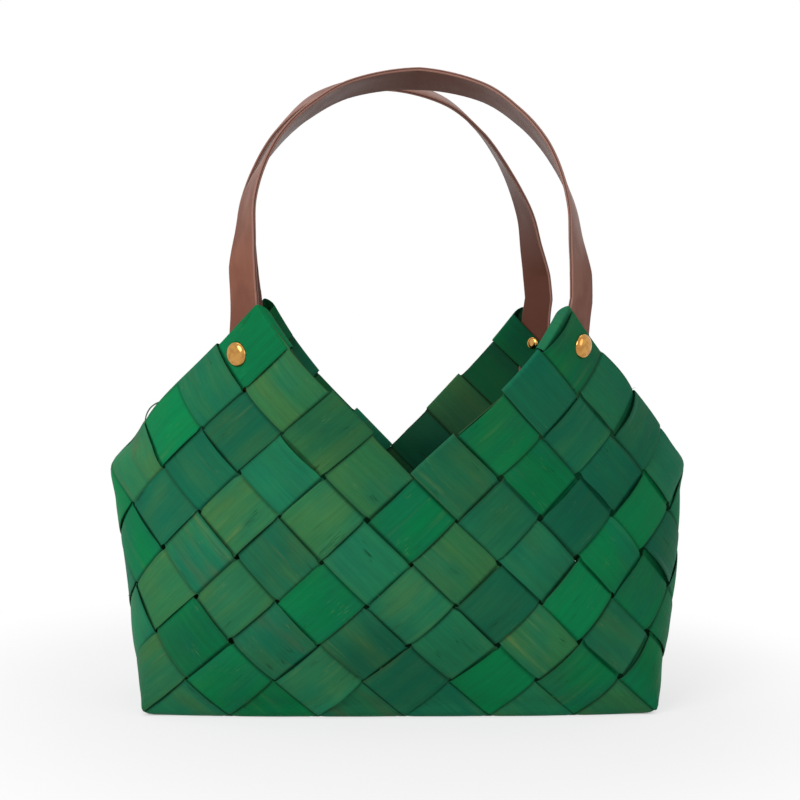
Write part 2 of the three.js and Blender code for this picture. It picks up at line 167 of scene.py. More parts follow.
def footEdge(s):
    r = np.mod(s, girth)
    front = 2 * halfFront
    right = front + 2 * halfSide
    back = right + 2 * halfFront
    sides = [r <= front, r <= right, r <= back]
    flat = np.zeros_like(r)
    sideX = [r - halfFront, flat + halfFront, halfFront - (r - right)]
    sideY = [flat - halfSide, r - front - halfSide, flat + halfSide]
    x = np.select(sides, sideX, flat - halfFront)
    y = np.select(sides, sideY, halfSide - (r - back))
    return footprint(x, y)


def softShift(t, s):  # where the soft walls leave the even form
    shift = 0.0
    for middle, reach, height, below, above, push in bag["softSpots"]:
        aside = s - middle
        aside = np.abs(aside - girth * np.round(aside / girth)) / reach
        apart = np.abs(t - height) / np.where(t < height, below, above)
        shift = shift + push * smooth(1 - aside) * smooth(1 - apart)
    return shift


def wallOutline(t, s):
    footX, footY = footEdge(s)
    fullX, fullY = sectionPoint(t, s)
    k = smooth(t / bag["footBlend"])
    return footX + k * (fullX - footX) + softShift(t, s), footY + k * (fullY - footY)


def foldOf(distance):  # the rounded fold between base and wall: how far in, how far up
    radius = bag["foldRadius"]
    q = np.clip((distance + radius) / (2 * radius), 0, 1)
    return radius * (1 - q) ** 2, radius * q ** 2


def wallPoint(s, t):
    inward, up = foldOf(t)
    rounded = t < bag["foldRadius"]
    inward = np.where(rounded, inward, 0)
    up = np.where(rounded, up, t)
    x, y = wallOutline(up, s)
    beforeX, beforeY = wallOutline(up, s - bag["outlineStep"])
    afterX, afterY = wallOutline(up, s + bag["outlineStep"])
    length = np.hypot(afterX - beforeX, afterY - beforeY)
    x = x - inward * (afterY - beforeY) / length
    y = y + inward * (afterX - beforeX) / length
    return np.stack([x, y, bag["floorLift"] + bag["riseRatio"] * up], axis=-1)


def basePoint(x, y):
    radius = bag["foldRadius"]
    gapX = halfFront - np.abs(x)
    gapY = halfSide - np.abs(y)
    inX, upX = foldOf(-gapX)
    inY, upY = foldOf(-gapY)
    inX = np.where(gapX < radius, inX, gapX)
    inY = np.where(gapY < radius, inY, gapY)
    upX = np.where(gapX < radius, upX, 0)
    upY = np.where(gapY < radius, upY, 0)
    edgeX, edgeY = footprint(np.sign(x) * (halfFront - inX), y)
    outY = np.maximum(0, halfSide - inY + np.abs(edgeY) - np.abs(y))
    z = bag["floorLift"] + bag["riseRatio"] * np.maximum(upX, upY)
    return np.stack([edgeX, np.sign(y) * outY, z], axis=-1)


def placed(x, y, ends):  # a point of the flat pattern, on the base or on the wall that its strip climbs
    p = basePoint(x, y)
    walls = {
        "left": (x < -halfFront, 4 * halfFront + 3 * halfSide - y, -halfFront - x),
        "back": (y > halfSide, 3 * halfFront + 2 * halfSide - x, y - halfSide),
        "right": (x > halfFront, 2 * halfFront + halfSide + y, x - halfFront),
        "front": (y < -halfSide, x + halfFront, -halfSide - y),
    }
    for wall in ends:
        beyond, s, t = walls[wall]
        p = np.where(beyond[..., None], wallPoint(s, np.maximum(t, -bag["foldRadius"])), p)
    return p


def unit(v):
    return v / np.maximum(np.linalg.norm(v, axis=-1, keepdims=True), 1e-12)


def framed(x, y, ends):
    h = bag["sampleStep"]
    dx = placed(x + h, y, ends) - placed(x - h, y, ends)
    dy = placed(x, y + h, ends) - placed(x, y - h, ends)
    return placed(x, y, ends), unit(np.cross(dy, dx))


def wallFrame(s, t):  # place, sideways, upwards and outwards on the wall
    s = np.asarray(s, float)
    t = np.asarray(t, float)
    h = bag["sampleStep"]
    along = unit(wallPoint(s + h, t) - wallPoint(s - h, t))
    up = unit(wallPoint(s, t + h) - wallPoint(s, t - h))
    return wallPoint(s, t), along, up, unit(np.cross(along, up))


print("skin ready")


# Nodes, written short
def addNode(tree, kind, inputs=None, **settings):
    node = tree.nodes.new(kind)
    for name, value in settings.items():
        setattr(node, name, value)
    for key, value in (inputs or {}).items():
        if isinstance(value, bpy.types.NodeSocket):
            tree.links.new(value, node.inputs[key])
        else:
            node.inputs[key].default_value = value
    return node


def mixColour(tree, factor, a, b, blend="MIX"):
    node = addNode(tree, "ShaderNodeMix", {0: factor, 6: a, 7: b}, data_type="RGBA", blend_type=blend)
    return node.outputs[2]


def ramp(tree, value, low, high, toLow=0.0, toHigh=1.0):
    inputs = {"Value": value, "From Min": low, "From Max": high, "To Min": toLow, "To Max": toHigh}
    return addNode(tree, "ShaderNodeMapRange", inputs, interpolation_type="SMOOTHSTEP").outputs[0]


def maths(tree, operation, *values, **settings):
    inputs = dict(enumerate(values))
    return addNode(tree, "ShaderNodeMath", inputs, operation=operation, **settings).outputs[0]


def times(tree, a, b):
    return maths(tree, "MULTIPLY", a, b)


def noise(tree, vector, scale, detail=3.0, rough=0.55):
    mapping = addNode(tree, "ShaderNodeMapping", {"Vector": vector, "Scale": scale})
    inputs = {"Vector": mapping.outputs[0], "Scale": 1.0, "Detail": detail, "Roughness": rough}
    return addNode(tree, "ShaderNodeTexNoise", inputs).outputs[0]


def stored(tree, name, kind="Fac"):  # a value kept on the points of the mesh
    return addNode(tree, "ShaderNodeAttribute", attribute_name=name).outputs[kind]


def objectPlace(tree):
    return addNode(tree, "ShaderNodeTexCoord").outputs["Object"]


def srgb(r, g, b):
    def linear(v):
        v = v / 255
        return v / 12.92 if v <= 0.04045 else ((v + 0.055) / 1.055) ** 2.4
    return (linear(r), linear(g), linear(b), 1.0)


def newMaterial(name):
    material = bpy.data.materials.new(name)
    material.use_nodes = True
    return material, material.node_tree, material.node_tree.nodes["Principled BSDF"]


def setSurface(tree, shader, colour, wear, look):
    roughness = ramp(tree, wear, *look["wearSpan"], *look["roughness"])
    tree.links.new(colour, shader.inputs["Base Color"])
    tree.links.new(roughness, shader.inputs["Roughness"])


def setBump(tree, shader, height, look):
    inputs = {"Height": height, "Strength": look["bumpStrength"], "Distance": look["bumpDistance"]}
    bump = addNode(tree, "ShaderNodeBump", inputs)
    tree.links.new(bump.outputs[0], shader.inputs["Normal"])


# Dyed veneer: clouds of dye, soft bands and fine fibres along the strip, a few flecks and cracks, with
# painted shade at the joins, along the edges and on the faces inside the bag
veneer = {
    "tones": {  # dye and second dye of each kind of strip
        "bright": (srgb(2, 116, 66), srgb(10, 108, 72)),
        "mid": (srgb(28, 112, 76), srgb(18, 104, 76)),
        "olive": (srgb(44, 112, 68), srgb(30, 108, 74)),
        "teal": (srgb(13, 99, 73), srgb(21, 104, 74)),
    },
    "oliveDye": srgb(68, 114, 63),
    "freshDye": srgb(4, 126, 72),
    "straw": srgb(112, 132, 74),
    "rust": srgb(92, 80, 50),
    # painted shade: the dark green that the strips are mixed towards near the joins and along their
    # long edges
    "deep": srgb(4, 46, 28),
    "crack": srgb(14, 46, 30),
    "cutEdge": srgb(56, 90, 56),
    "patterns": {  # scale along, across and from strip to strip, then detail and roughness
        "cloud": ((22.0, 34.0, 1.0), 2.0),
        "patch": ((30.0, 48.0, 4.0), 2.0),
        "band": ((9.0, 70.0, 1.0), 2.0),
        "fibre": ((14.0, 420.0, 1.0), 4.0, 0.6),
        "fine": ((110.0, 1700.0, 1.0), 2.0),
        "strawPlace": ((26.0, 40.0, 7.0), 2.0),
        "strawLine": ((12.0, 230.0, 3.0), 3.0),
        "rustLine": ((15.0, 70.0, 5.0), 3.0),
        "fleckPlace": ((60.0, 90.0, 13.0), 1.0),
        "fleck": ((170.0, 1500.0, 6.0), 1.0),
        "crackWave": ((24.0, 560.0, 9.0), 1.0),
        "crackPlace": ((48.0, 90.0, 11.0), 1.0),
    },
    "spans": {  # where a pattern starts and where it is full, then its strength at both
        "cloud": (0.36, 0.66),
        "band": (0.28, 0.76),
        "patch": (0.3, 0.62, 0.25, 1.0),
        "strawPlace": (0.48, 0.7, 0.0, 0.45),
        "strawLine": (0.52, 0.74),
        "strawOlive": (0.0, 0.7, 0.2, 1.0),
        "rustLine": (0.46, 0.76, 0.0, 0.55),
        "fibre": (0.3, 0.7, 0.92, 1.07),
        "fine": (0.3, 0.7, 0.95, 1.04),
        "shade": (0.0, 1.0, 0.74, 1.2),
        "fleckPlace": (0.6, 0.68, 0.0, 0.25),
        "fleck": (0.62, 0.7),
        "crackLine": (0.0, 0.022, 0.7, 0.0),
        "crackPlace": (0.62, 0.7),
        # painted shade: the strips' inner faces and the flaps folded inside are darkened
        "inside": (0.0, 1.0, 1.0, 0.42),
    },
    "noiseMiddle": 0.5,
    # how far the painted shade at joins and edges darkens a strip
    "contactShadeShare": 0.8,
    "wearSpan": (0.3, 0.7),
    "roughness": (0.52, 0.68),
    "specular": 0.07,
    "fineBump": 0.4,
    "bumpStrength": 0.45,
    "bumpDistance": 0.0003,
}


def veneerMaterial(name, tone):
    material, tree, shader = newMaterial(name)
    base, second = veneer["tones"][tone]
    grain = stored(tree, "grain", "Vector")
    waves = {key: noise(tree, grain, *pattern) for key, pattern in veneer["patterns"].items()}

    def span(key, value=None):
        return ramp(tree, waves[key] if value is None else value, *veneer["spans"][key])

    olive = stored(tree, "olive")
    oliveBand = times(tree, span("band"), span("patch"))
    straw = times(tree, span("strawPlace"), span("strawLine"))
    straw = times(tree, straw, span("strawOlive", olive))
    rust = times(tree, stored(tree, "rust"), span("rustLine"))
    crackOff = maths(tree, "SUBTRACT", waves["crackWave"], veneer["noiseMiddle"])
    crack = times(tree, span("crackLine", maths(tree, "ABSOLUTE", crackOff)), span("crackPlace"))
    colour = mixColour(tree, span("cloud"), base, second)
    colour = mixColour(tree, times(tree, olive, oliveBand), colour, veneer["oliveDye"])
    colour = mixColour(tree, stored(tree, "fresh"), colour, veneer["freshDye"])
    colour = mixColour(tree, straw, colour, veneer["straw"])
    colour = mixColour(tree, rust, colour, veneer["rust"])
    for tint in (span("fibre"), span("fine"), span("shade", stored(tree, "shade"))):
        colour = mixColour(tree, 1.0, colour, tint, "MULTIPLY")
    colour = mixColour(tree, times(tree, span("fleck"), span("fleckPlace")), colour, veneer["straw"])
    colour = mixColour(tree, crack, colour, veneer["crack"])
    # painted shade where a strip dives under its neighbour and along its long edges
    contactShade = times(tree, stored(tree, "contactShade"), veneer["contactShadeShare"])
    colour = mixColour(tree, contactShade, colour, veneer["deep"])
    colour = mixColour(tree, stored(tree, "cut"), colour, veneer["cutEdge"])
    # painted shade on the inner faces and on the flaps inside the bag
    colour = mixColour(tree, 1.0, colour, span("inside", stored(tree, "inside")), "MULTIPLY")
    setSurface(tree, shader, colour, waves["fibre"], veneer)
    shader.inputs["Specular IOR Level"].default_value = veneer["specular"]
    height = mixColour(tree, veneer["fineBump"], waves["fibre"], waves["fine"])
    setBump(tree, shader, mixColour(tree, crack, height, (0, 0, 0, 1)), veneer)
    return material


veneerMaterials = {tone: veneerMaterial("veneer" + tone.capitalize(), tone) for tone in veneer["tones"]}

# Leather: brown and smooth, darker inside, with a paler cut edge and a dark line along its middle,
# partly the edge's own colour and partly painted shade of a groove
leather = {
    "face": srgb(130, 79, 59),
    "shadow": srgb(114, 66, 49),
    "innerFace": srgb(100, 55, 40),
    "edge": srgb(150, 106, 92),
    "grooveLineAndShade": srgb(62, 32, 25),
    "cloud": ((30.0, 60.0, 30.0), 3.0),
    "cloudSpan": (0.35, 0.65),
    "poreScale": 900.0,
    "poreSpan": (0.0, 0.6, 0.97, 1.01),
    "wearSpan": (0.3, 0.7),
    "roughness": (0.4, 0.52),
    "specular": 0.28,
    "bumpStrength": 0.1,
    "bumpDistance": 0.00012,
}


def leatherMaterial():
    material, tree, shader = newMaterial("strapLeather")
    grain = stored(tree, "grain", "Vector")
    cloud = noise(tree, grain, *leather["cloud"])
    poreInputs = {"Vector": grain, "Scale": leather["poreScale"]}
    pore = addNode(tree, "ShaderNodeTexVoronoi", poreInputs).outputs["Distance"]
    clouded = ramp(tree, cloud, *leather["cloudSpan"])
    colour = mixColour(tree, clouded, leather["face"], leather["shadow"])
    for name, tone in (("inner", "innerFace"), ("edge", "edge"), ("grooveLineAndShade", "grooveLineAndShade")):
        colour = mixColour(tree, stored(tree, name), colour, leather[tone])
    colour = mixColour(tree, 1.0, colour, ramp(tree, pore, *leather["poreSpan"]), "MULTIPLY")
    setSurface(tree, shader, colour, cloud, leather)
    shader.inputs["Specular IOR Level"].default_value = leather["specular"]
    setBump(tree, shader, pore, leather)
    return material


# Brass: polished, with faint rubbing
brass = {
    "colour": srgb(200, 150, 82),
    "worn": srgb(178, 126, 66),
    "rub": ((420.0, 420.0, 420.0), 3.0, 0.5),
    "rubSpan": (0.35, 0.7),
    "wearSpan": (0.3, 0.75),
    "roughness": (0.1, 0.18),
}


def brassMaterial():
    material, tree, shader = newMaterial("rivetBrass")
    rub = noise(tree, objectPlace(tree), *brass["rub"])
    colour = mixColour(tree, ramp(tree, rub, *brass["rubSpan"]), brass["colour"], brass["worn"])
    setSurface(tree, shader, colour, rub, brass)
    shader.inputs["Metallic"].default_value = 1.0
    return material


strapLeather = leatherMaterial()
rivetBrass = brassMaterial()
print("finishes ready")


def meshObject(name, points, faces, flatFaces, materials):
    mesh = bpy.data.meshes.new(name)
    mesh.from_pydata(points.tolist(), [], faces.tolist())
    sharp = np.zeros(len(faces), bool)
    sharp[flatFaces] = True
    mesh.attributes.new("sharp_face", "BOOLEAN", "FACE").data.foreach_set("value", sharp)
    piece = bpy.data.objects.new(name, mesh)
    bpy.context.scene.collection.objects.link(piece)
    for material in materials:
        mesh.materials.append(material)
    return piece


def quadRows(*corners):
    return np.stack(corners, -1).reshape(-1, 4)


def tubeFaces(rows, columns):  # the faces round a tube, and how many of them close its two ends
    grid = np.arange(rows * columns).reshape(rows, columns)
    after = np.roll(grid, -1, axis=1)
    caps = []
    for order in (grid[0], grid[-1][::-1]):
        for k in range(1, columns // 2):
            caps.append([order[k - 1], order[k], order[columns - 1 - k], order[columns - k]])
    quads = quadRows(grid[:-1], grid[1:], after[1:], after[:-1])
    return np.concatenate([quads, caps]), len(caps)


def setFloats(piece, name, values):
    layer = piece.data.attributes.new(name, "FLOAT", "POINT")
    layer.data.foreach_set("value", np.ascontiguousarray(values, np.float32).ravel())


def setVectors(piece, name, values):
    layer = piece.data.attributes.new(name, "FLOAT_VECTOR", "POINT")
    layer.data.foreach_set("vector", np.ascontiguousarray(values, np.float32).ravel())


def outwardFaces(points, faces):  # turns a closed mesh the right way out
    a, b, c, d = (points[faces[:, k]] for k in range(4))
    volume = np.sum(a * (np.cross(b, c) + np.cross(c, d)))
    return faces if volume > 0 else faces[:, ::-1]


# Veneer strips (mm, and shares of a square along the strip)
weave = {
    "thickness": 0.8,
    "layerStep": 0.55,  # half the distance between two crossing strips
    "dive": 1.5,  # half the length over which a strip goes from over to under
    "puff": (0.5, 1.25),  # how far a square bows out
    "puffInside": 0.35,
    "flatBelow": 12.0,  # squares of the base lie flat
    "crown": 0.3,
    "bowPower": 0.85,
    "edgeThin": 0.3,  # how much thinner the cut edges are
    "edgePower": 24,
    "inset": (0.2, 1.15),  # from the edge of the lane to the edge of the strip
    "insetWave": 1.0,
    "curl": (0.0, 0.45),
    "bigCurl": (0.9, 2.2),
    "bigCurlShare": (0.06, 0.3),  # on the left and on the right of the front
    "curlFrom": 0.5,  # share of the half width that stays flat
    "curlPower": 1.5,
    "rimProud": (0.4, 2.8),
    "frontProud": (1.5, 3.8),  # at the front's V
    "rimSpread": (0.1, 1.5),  # how far the strip beside the rim stands out past its lane
    "frontSpread": (0.8, 2.4),
    "notch": (0.0, 1.3),  # the waist of a strip where four corners meet
    "notchLength": 4.5,
    "notchElsewhere": 0.3,  # share of the notch on the walls that the photograph hides
    "baseInset": 0.3,  # share of the inset that is left on the base
    "rightGap": 1.8,  # the squares to the right of the front stand further apart
    "gapWave": 0.7,
    "flapLift": -1.65,
    "tipFlapLift": -6.35,  # the flap at a peak's tip lies inside the handle's tab
    "tipReach": 0.75,
    "tipProud": {True: (-1.6, -1.0), False: (0.4, 2.8)},  # ends over, ends under
    "tipSquash": 0.4,  # a tip's fold is creased flatter than round
    "tipMitre": 7.0,
    "tipSpread": 0.2,
    "tipTrim": (-1.0, -0.4),
    "peek": (-0.6, 1.0),  # how far a trimmed end stands out past its lane
    "frontPeek": (0.4, 2.6),
    "flapFrom": 0.1,
    "flapEnd": (0.05, 0.2),
    "flapRows": 7,
    "flapShade": 0.75,
    "shadeFrom": 2,  # rows of the fold that keep the outside's tone
    # painted shade near the joins where a strip dives under another, and along its long edges: reach in
    # mm and strength
    "contactShadeLength": 2.2,
    "contactShade": (0.15, 0.9),
    "edgeShadeLength": 1.0,
    "edgeShadeLevel": (0.05, 0.8),
    "wearShare": 0.3,
    "wear": (0.2, 0.6),
    "leastWear": 0.05,
    "wearReach": 0.01,
    "oliveSpread": 0.25,
    "oliveRight": 0.55,  # how much less olive there is on the right of the front: partly the veneer's own tone, partly painted light falling from the left
    "freshLevel": 0.7,
    "shadeLevel": (0.5, 0.16),
    "rustLevel": (0.5, 1.0),
    "grainShift": 40.0,
    "across": 13,
    "foldSteps": 9,
    "seed": 11,
}
dyes = {
    "right": ("bright", "mid", "teal", "bright", "bright", "bright", "mid", "bright"),
    "left": ("olive", "olive", "mid", "bright", "mid", "teal", "mid", "olive"),
}
oliveShare = {"bright": 0.1, "mid": 0.45, "olive": 0.85, "teal": 0.2}
rustStrip = ("left", 5)
freshStrip = ("right", 4)
cellSteps = np.array([0, 0.012, 0.028, 0.045, 0.07, 0.11, 0.18, 0.28, 0.39, 0.5,
                      0.61, 0.72, 0.82, 0.89, 0.93, 0.955, 0.972, 0.988])


def risingEnd(m):  # where a climbing strip meets the zigzag rim
    lap = 2 * bag["peakSquares"]
    return hs + bag["valleySquares"] + lap * math.floor((m - (hs - bag["valleySquares"] - lap)) / lap)


def fallingEnd(n):
    lap = 2 * bag["peakSquares"]
    return hs - bag["valleySquares"] + lap * math.floor((n - (hs + bag["valleySquares"])) / lap)


def rightLeaning(i):
    high = "front" if i + 0.5 < hs - hd else "right"
    low = "back" if i + 0.5 > hd - hs else "left"
    climb = i + hs + hd
    far = 3 * hs + 3 * hd - 1 - i
    to = risingEnd(climb) - (hs - hd) if high == "front" else 3 * hs + hd - fallingEnd(climb)
    start = 3 * hs + hd - risingEnd(far) if low == "back" else fallingEnd(far) - (5 * hs + 3 * hd)
    return {"ends": (high, low), "from": start, "to": to, "lane": i, "odd": 1, "swap": False}


def leftLeaning(j):
    low = "front" if j + 0.5 > hd - hs else "left"
    high = "back" if j + 0.5 < hs - hd else "right"
    if low == "front":
        start = fallingEnd(j + hs - hd) - (hs + hd)
    else:
        start = 3 * hs + 3 * hd - risingEnd(j + 5 * hs + 3 * hd)
    if high == "back":
        to = 3 * hs + 3 * hd - fallingEnd(3 * hs + hd - 1 - j)
    else:
        to = risingEnd(3 * hs + hd - 1 - j) - (hs + hd)
    return {"ends": (low, high), "from": start, "to": to, "lane": j, "odd": 0, "swap": True}


def isOver(strip, cell):
    return abs(strip["lane"] + cell) % 2 == strip["odd"]


def flatSpot(strip, c, lane):  # c along the strip and lane across it, both in squares
    p = c * square if strip["swap"] else lane * square
    q = lane * square if strip["swap"] else c * square
    return (p + q) / 2, (p - q) / 2


def onSkin(strip, c, lane):
    x, y = flatSpot(strip, c, lane)
    return framed(x, y, strip["ends"])


def wallSpot(strip, c, lane):  # place round the wall and height up it
    x, y = flatSpot(strip, c, lane)
    if "front" in strip["ends"] and y < -halfSide:
        return x + halfFront, -halfSide - y
    if "right" in strip["ends"] and x > halfFront:
        return 2 * halfFront + halfSide + y, x - halfFront
    if "back" in strip["ends"] and y > halfSide:
        return 3 * halfFront + 2 * halfSide - x, y - halfSide
    return 4 * halfFront + 3 * halfSide - y, -halfFront - x


def endOf(strip, way):  # at a tip or not, how deep the fold goes, which side is upper
    last = strip["from"] if way < 0 else strip["to"]
    cell = last if way < 0 else last - 1
    lane = strip["lane"] + 0.5
    s, t = wallSpot(strip, cell + 0.5, lane)
    beyond, _ = wallSpot(strip, cell + 0.5 + way / 4, lane)
    upper = wallSpot(strip, cell + 0.5, lane + 0.25)[1] > t
    atTip = t > peakHeight - weave["tipReach"] * square
    peak = round((s - halfFront + bag["peakSquares"] * square) / (2 * bag["peakSquares"] * square))
    towardsValley = (peak % 2 == 0) == (beyond > s)
    if atTip:
        depth = weave["tipFlapLift"] if towardsValley else None
    else:
        depth = weave["flapLift"] if isOver(strip, cell) else None
    lift = weave["layerStep"] if isOver(strip, cell) else -weave["layerStep"]
    return {"last": last, "way": way, "atTip": atTip, "depth": depth, "lift": lift, "upper": upper,
            "frontV": inFrontV(s) and not atTip}


def inFrontV(s):  # between the two peaks of the front
    return abs(s - halfFront) < bag["peakSquares"] * square


def rimHeight(s):
    lap = 2 * bag["peakSquares"] * square
    fromPeak = (s - halfFront) % lap - lap / 2
    return peakHeight - abs(fromPeak)


def rimSides(strip):  # of each square: 0 in the weave, 1 at the rim, 2 at the front's V, 3 at a tip
    sides = []
    for cell in range(strip["from"], strip["to"]):
        row = []
        for side in (-1, 1):
            s, t = wallSpot(strip, cell + 0.5, strip["lane"] + 0.5 + side)
            own, height = wallSpot(strip, cell + 0.5, strip["lane"] + 0.5)
            tip = height > peakHeight - weave["tipReach"] * square
            row.append(0 if t < rimHeight(s) else 3 if tip else 2 if inFrontV(own) else 1)
        sides.append(row)
    return np.array(sides)


def wander(rng, c, low, high, wave):  # a slow random walk along a strip, between two limits
    knots = np.arange(math.floor(c.min()) - 2, math.ceil(c.max()) + 3, wave)
    values = rng.random_sample(len(knots))
    place = (c - knots[0]) / wave
    k = place.astype(int)
    f = smooth(place - k)
    return low + (high - low) * (values[k] * (1 - f) + values[k + 1] * f)


def foldRows(end, rng, w):  # over the rim and back down inside
    radius = (end["lift"] - end["depth"]) / 2
    middle = (end["lift"] + end["depth"]) / 2
    proud = np.sort(rng.uniform(*weave["frontProud" if end["frontV"] else "rimProud"], 2))
    flat = 1.0
    if end["atTip"]:
        proud = np.array(weave["tipProud"][end["lift"] > 0])
        flat = weave["tipSquash"]
    if not end["upper"]:
        proud = proud[::-1]
    stand = (proud[0] + (proud[1] - proud[0]) * (w[None, :] + 1) / 2) / stripPitch
    turn = np.linspace(math.pi / 2, -math.pi / 2, weave["foldSteps"])[1:, None]
    flapEnd = 1 - rng.uniform(*weave["flapEnd"])
    rows = end["last"] + end["way"] * (stand + flat * radius * np.cos(turn) / stripPitch)
    lifts = middle + radius * np.sin(turn) + 0 * stand
    back = np.linspace(weave["flapFrom"], flapEnd, weave["flapRows"])[:, None]
    rows = np.concatenate([rows, end["last"] - end["way"] * back + 0 * stand])
    lifts = np.concatenate([lifts, end["depth"] + 0 * back + 0 * stand])
    mitre = np.zeros((len(rows), 2))
    if end["atTip"]:
        slope = smooth(np.arange(len(rows)) / len(turn))
        mitre[:, 1 if end["upper"] else 0] = weave["tipMitre"] * slope
    return end["last"] + end["way"] * stand, rows, lifts, mitre


def drawnTo(along, end, limit):  # draws the last half square out or in to where the strip ends
    middle = end["last"] - end["way"] / 2
    stretch = (limit - middle) / (end["last"] - middle)
    return np.where(end["way"] * (along - middle) > 0, middle + (along - middle) * stretch, along)


def stripPath(strip, rng):
    cells = np.arange(strip["from"], strip["to"])
    count = len(cells)
    c = np.append((cells[:, None] + cellSteps[None, :]).ravel(), strip["to"])
    w = np.sin(np.linspace(-1, 1, weave["across"]) * math.pi / 2)
    index = np.clip(np.floor(c + 1e-9).astype(int) - strip["from"], 0, count - 1)
    u = c - cells[index]
    over = np.array([1.0 if isOver(strip, k) else -1.0 for k in cells])
    middles = onSkin(strip, cells + 0.5, np.full(count, strip["lane"] + 0.5))[0]
    free = ((index == 0) & (u < 0.5)) | ((index == count - 1) & (u >= 0.5))
    edgeDistance = np.minimum(u, 1 - u) * stripPitch
    settle = np.where(free, 1.0, smooth(0.5 + edgeDistance / (2 * weave["dive"])) * 2 - 1)
    standing = smooth(middles[:, 2] / weave["flatBelow"])
    puff = np.where(over > 0, rng.uniform(*weave["puff"], count), weave["puffInside"]) * standing
    onFront = middles[:, 1] < 0
    onRight = smooth(middles[:, 0] / halfFront) * onFront
    leftShare, rightShare = weave["bigCurlShare"]
    bigShare = leftShare + (rightShare - leftShare) * onRight
    big = rng.random_sample((count, 2)) < bigShare[:, None]
    bigCurls = rng.uniform(*weave["bigCurl"], (count, 2))
    curls = np.where(big, bigCurls, rng.uniform(*weave["curl"], (count, 2)))
    curls = curls * (standing * (over > 0))[:, None]
    bow = np.sin(math.pi * u) ** weave["bowPower"]
    sideCurl = np.where(w[None, :] < 0, curls[index, :1], curls[index, 1:])
    rolled = smooth((np.abs(w)[None, :] - weave["curlFrom"]) / (1 - weave["curlFrom"]))
    sideCurl = sideCurl * rolled ** weave["curlPower"] * bow[:, None]
    swell = (puff[index] * bow)[:, None] * (1 - weave["crown"] * w ** 2)
    lift = over[index][:, None] * (weave["layerStep"] * settle[:, None] + swell) + sideCurl
    along = np.repeat(c[:, None], len(w), axis=1)
    # painted shade that grows towards each join where the strip dives under its neighbour
    joinShades = rng.uniform(*weave["contactShade"], count + 1)
    near = 1 - smooth(edgeDistance / weave["contactShadeLength"])
    contactShade = np.where(free, 0.0, joinShades[np.where(u < 0.5, index, index + 1)] * near)
    cut = np.zeros(len(c))
    inside = np.zeros(len(c))
    mitre = np.zeros((len(c), 2))
    for way in (-1, 1):
        end = endOf(strip, way)
        tail = slice(0, 1) if way < 0 else slice(-1, None)
        if end["depth"] is None:
            kind = "tipTrim" if end["atTip"] else "frontPeek" if end["frontV"] else "peek"
            stand = rng.uniform(*weave[kind], 2) / stripPitch
            limit = end["last"] + way * (stand[0] + (stand[1] - stand[0]) * (w + 1) / 2)[None, :]
            along = drawnTo(along, end, limit)
            cut[tail] = 1.0
            continue
        limit, rows, lifts, slope = foldRows(end, rng, w)
        along = drawnTo(along, end, limit)
        tailIndex = np.full(len(rows), index[tail][0])
        blank = np.zeros(len(rows))
        flap = smooth((np.arange(len(rows)) - weave["shadeFrom"]) / weave["foldSteps"])
        parts = [(along, rows), (lift, lifts), (contactShade, blank), (cut, blank), (inside, flap),
                 (mitre, slope), (index, tailIndex)]
        if way < 0:
            joined = [np.concatenate([b[::-1], a]) for a, b in parts]
        else:
            joined = [np.concatenate([a, b]) for a, b in parts]
        along, lift, contactShade, cut, inside, mitre, index = joined
    notched = standing * np.where(onFront, 1.0, weave["notchElsewhere"])
    return {"along": along, "lift": lift, "w": w, "contactShade": contactShade, "cut": cut, "inside": inside,
            "mitre": mitre, "index": index, "count": count, "onRight": onRight,
            "first": strip["from"], "standing": standing, "notched": notched}


def centresOf(path):
    return path["first"] + np.arange(path["count"]) + 0.5


def edgeInset(strip, path, rng, side):  # from the edge of the lane to the edge of the strip, row by row
    c = path["along"][:, 0]
    standing = path["standing"]

    def rowByRow(values):
        return np.interp(c, centresOf(path), values)

    tight = weave["baseInset"] + (1 - weave["baseInset"]) * rowByRow(standing)
    inset = wander(rng, c, *weave["inset"], weave["insetWave"]) * tight
    gap = wander(rng, c, 0, weave["rightGap"], weave["gapWave"])
    inset = inset + gap * rowByRow(path["onRight"] * standing)
    notches = rng.uniform(*weave["notch"], path["count"] + 1)
    notches[1:-1] *= np.minimum(path["notched"][1:], path["notched"][:-1])
    notches[[0, -1]] = 0
    nearest = np.clip(np.round(c - path["first"]).astype(int), 0, path["count"])
    distance = np.abs(c - path["first"] - nearest) * stripPitch
    inset = inset + notches[nearest] * (1 - smooth(distance / weave["notchLength"]))
    along = rimSides(strip)[:, side]
    frontSpread = rng.uniform(*weave["frontSpread"], path["count"])
    spread = np.where(along == 2, frontSpread, rng.uniform(*weave["rimSpread"], path["count"]))
    spread = np.where(along == 3, weave["tipSpread"], spread)
    share = rowByRow((along > 0).astype(float))
    return inset * (1 - share) - rowByRow(spread) * share + path["mitre"][:, side]


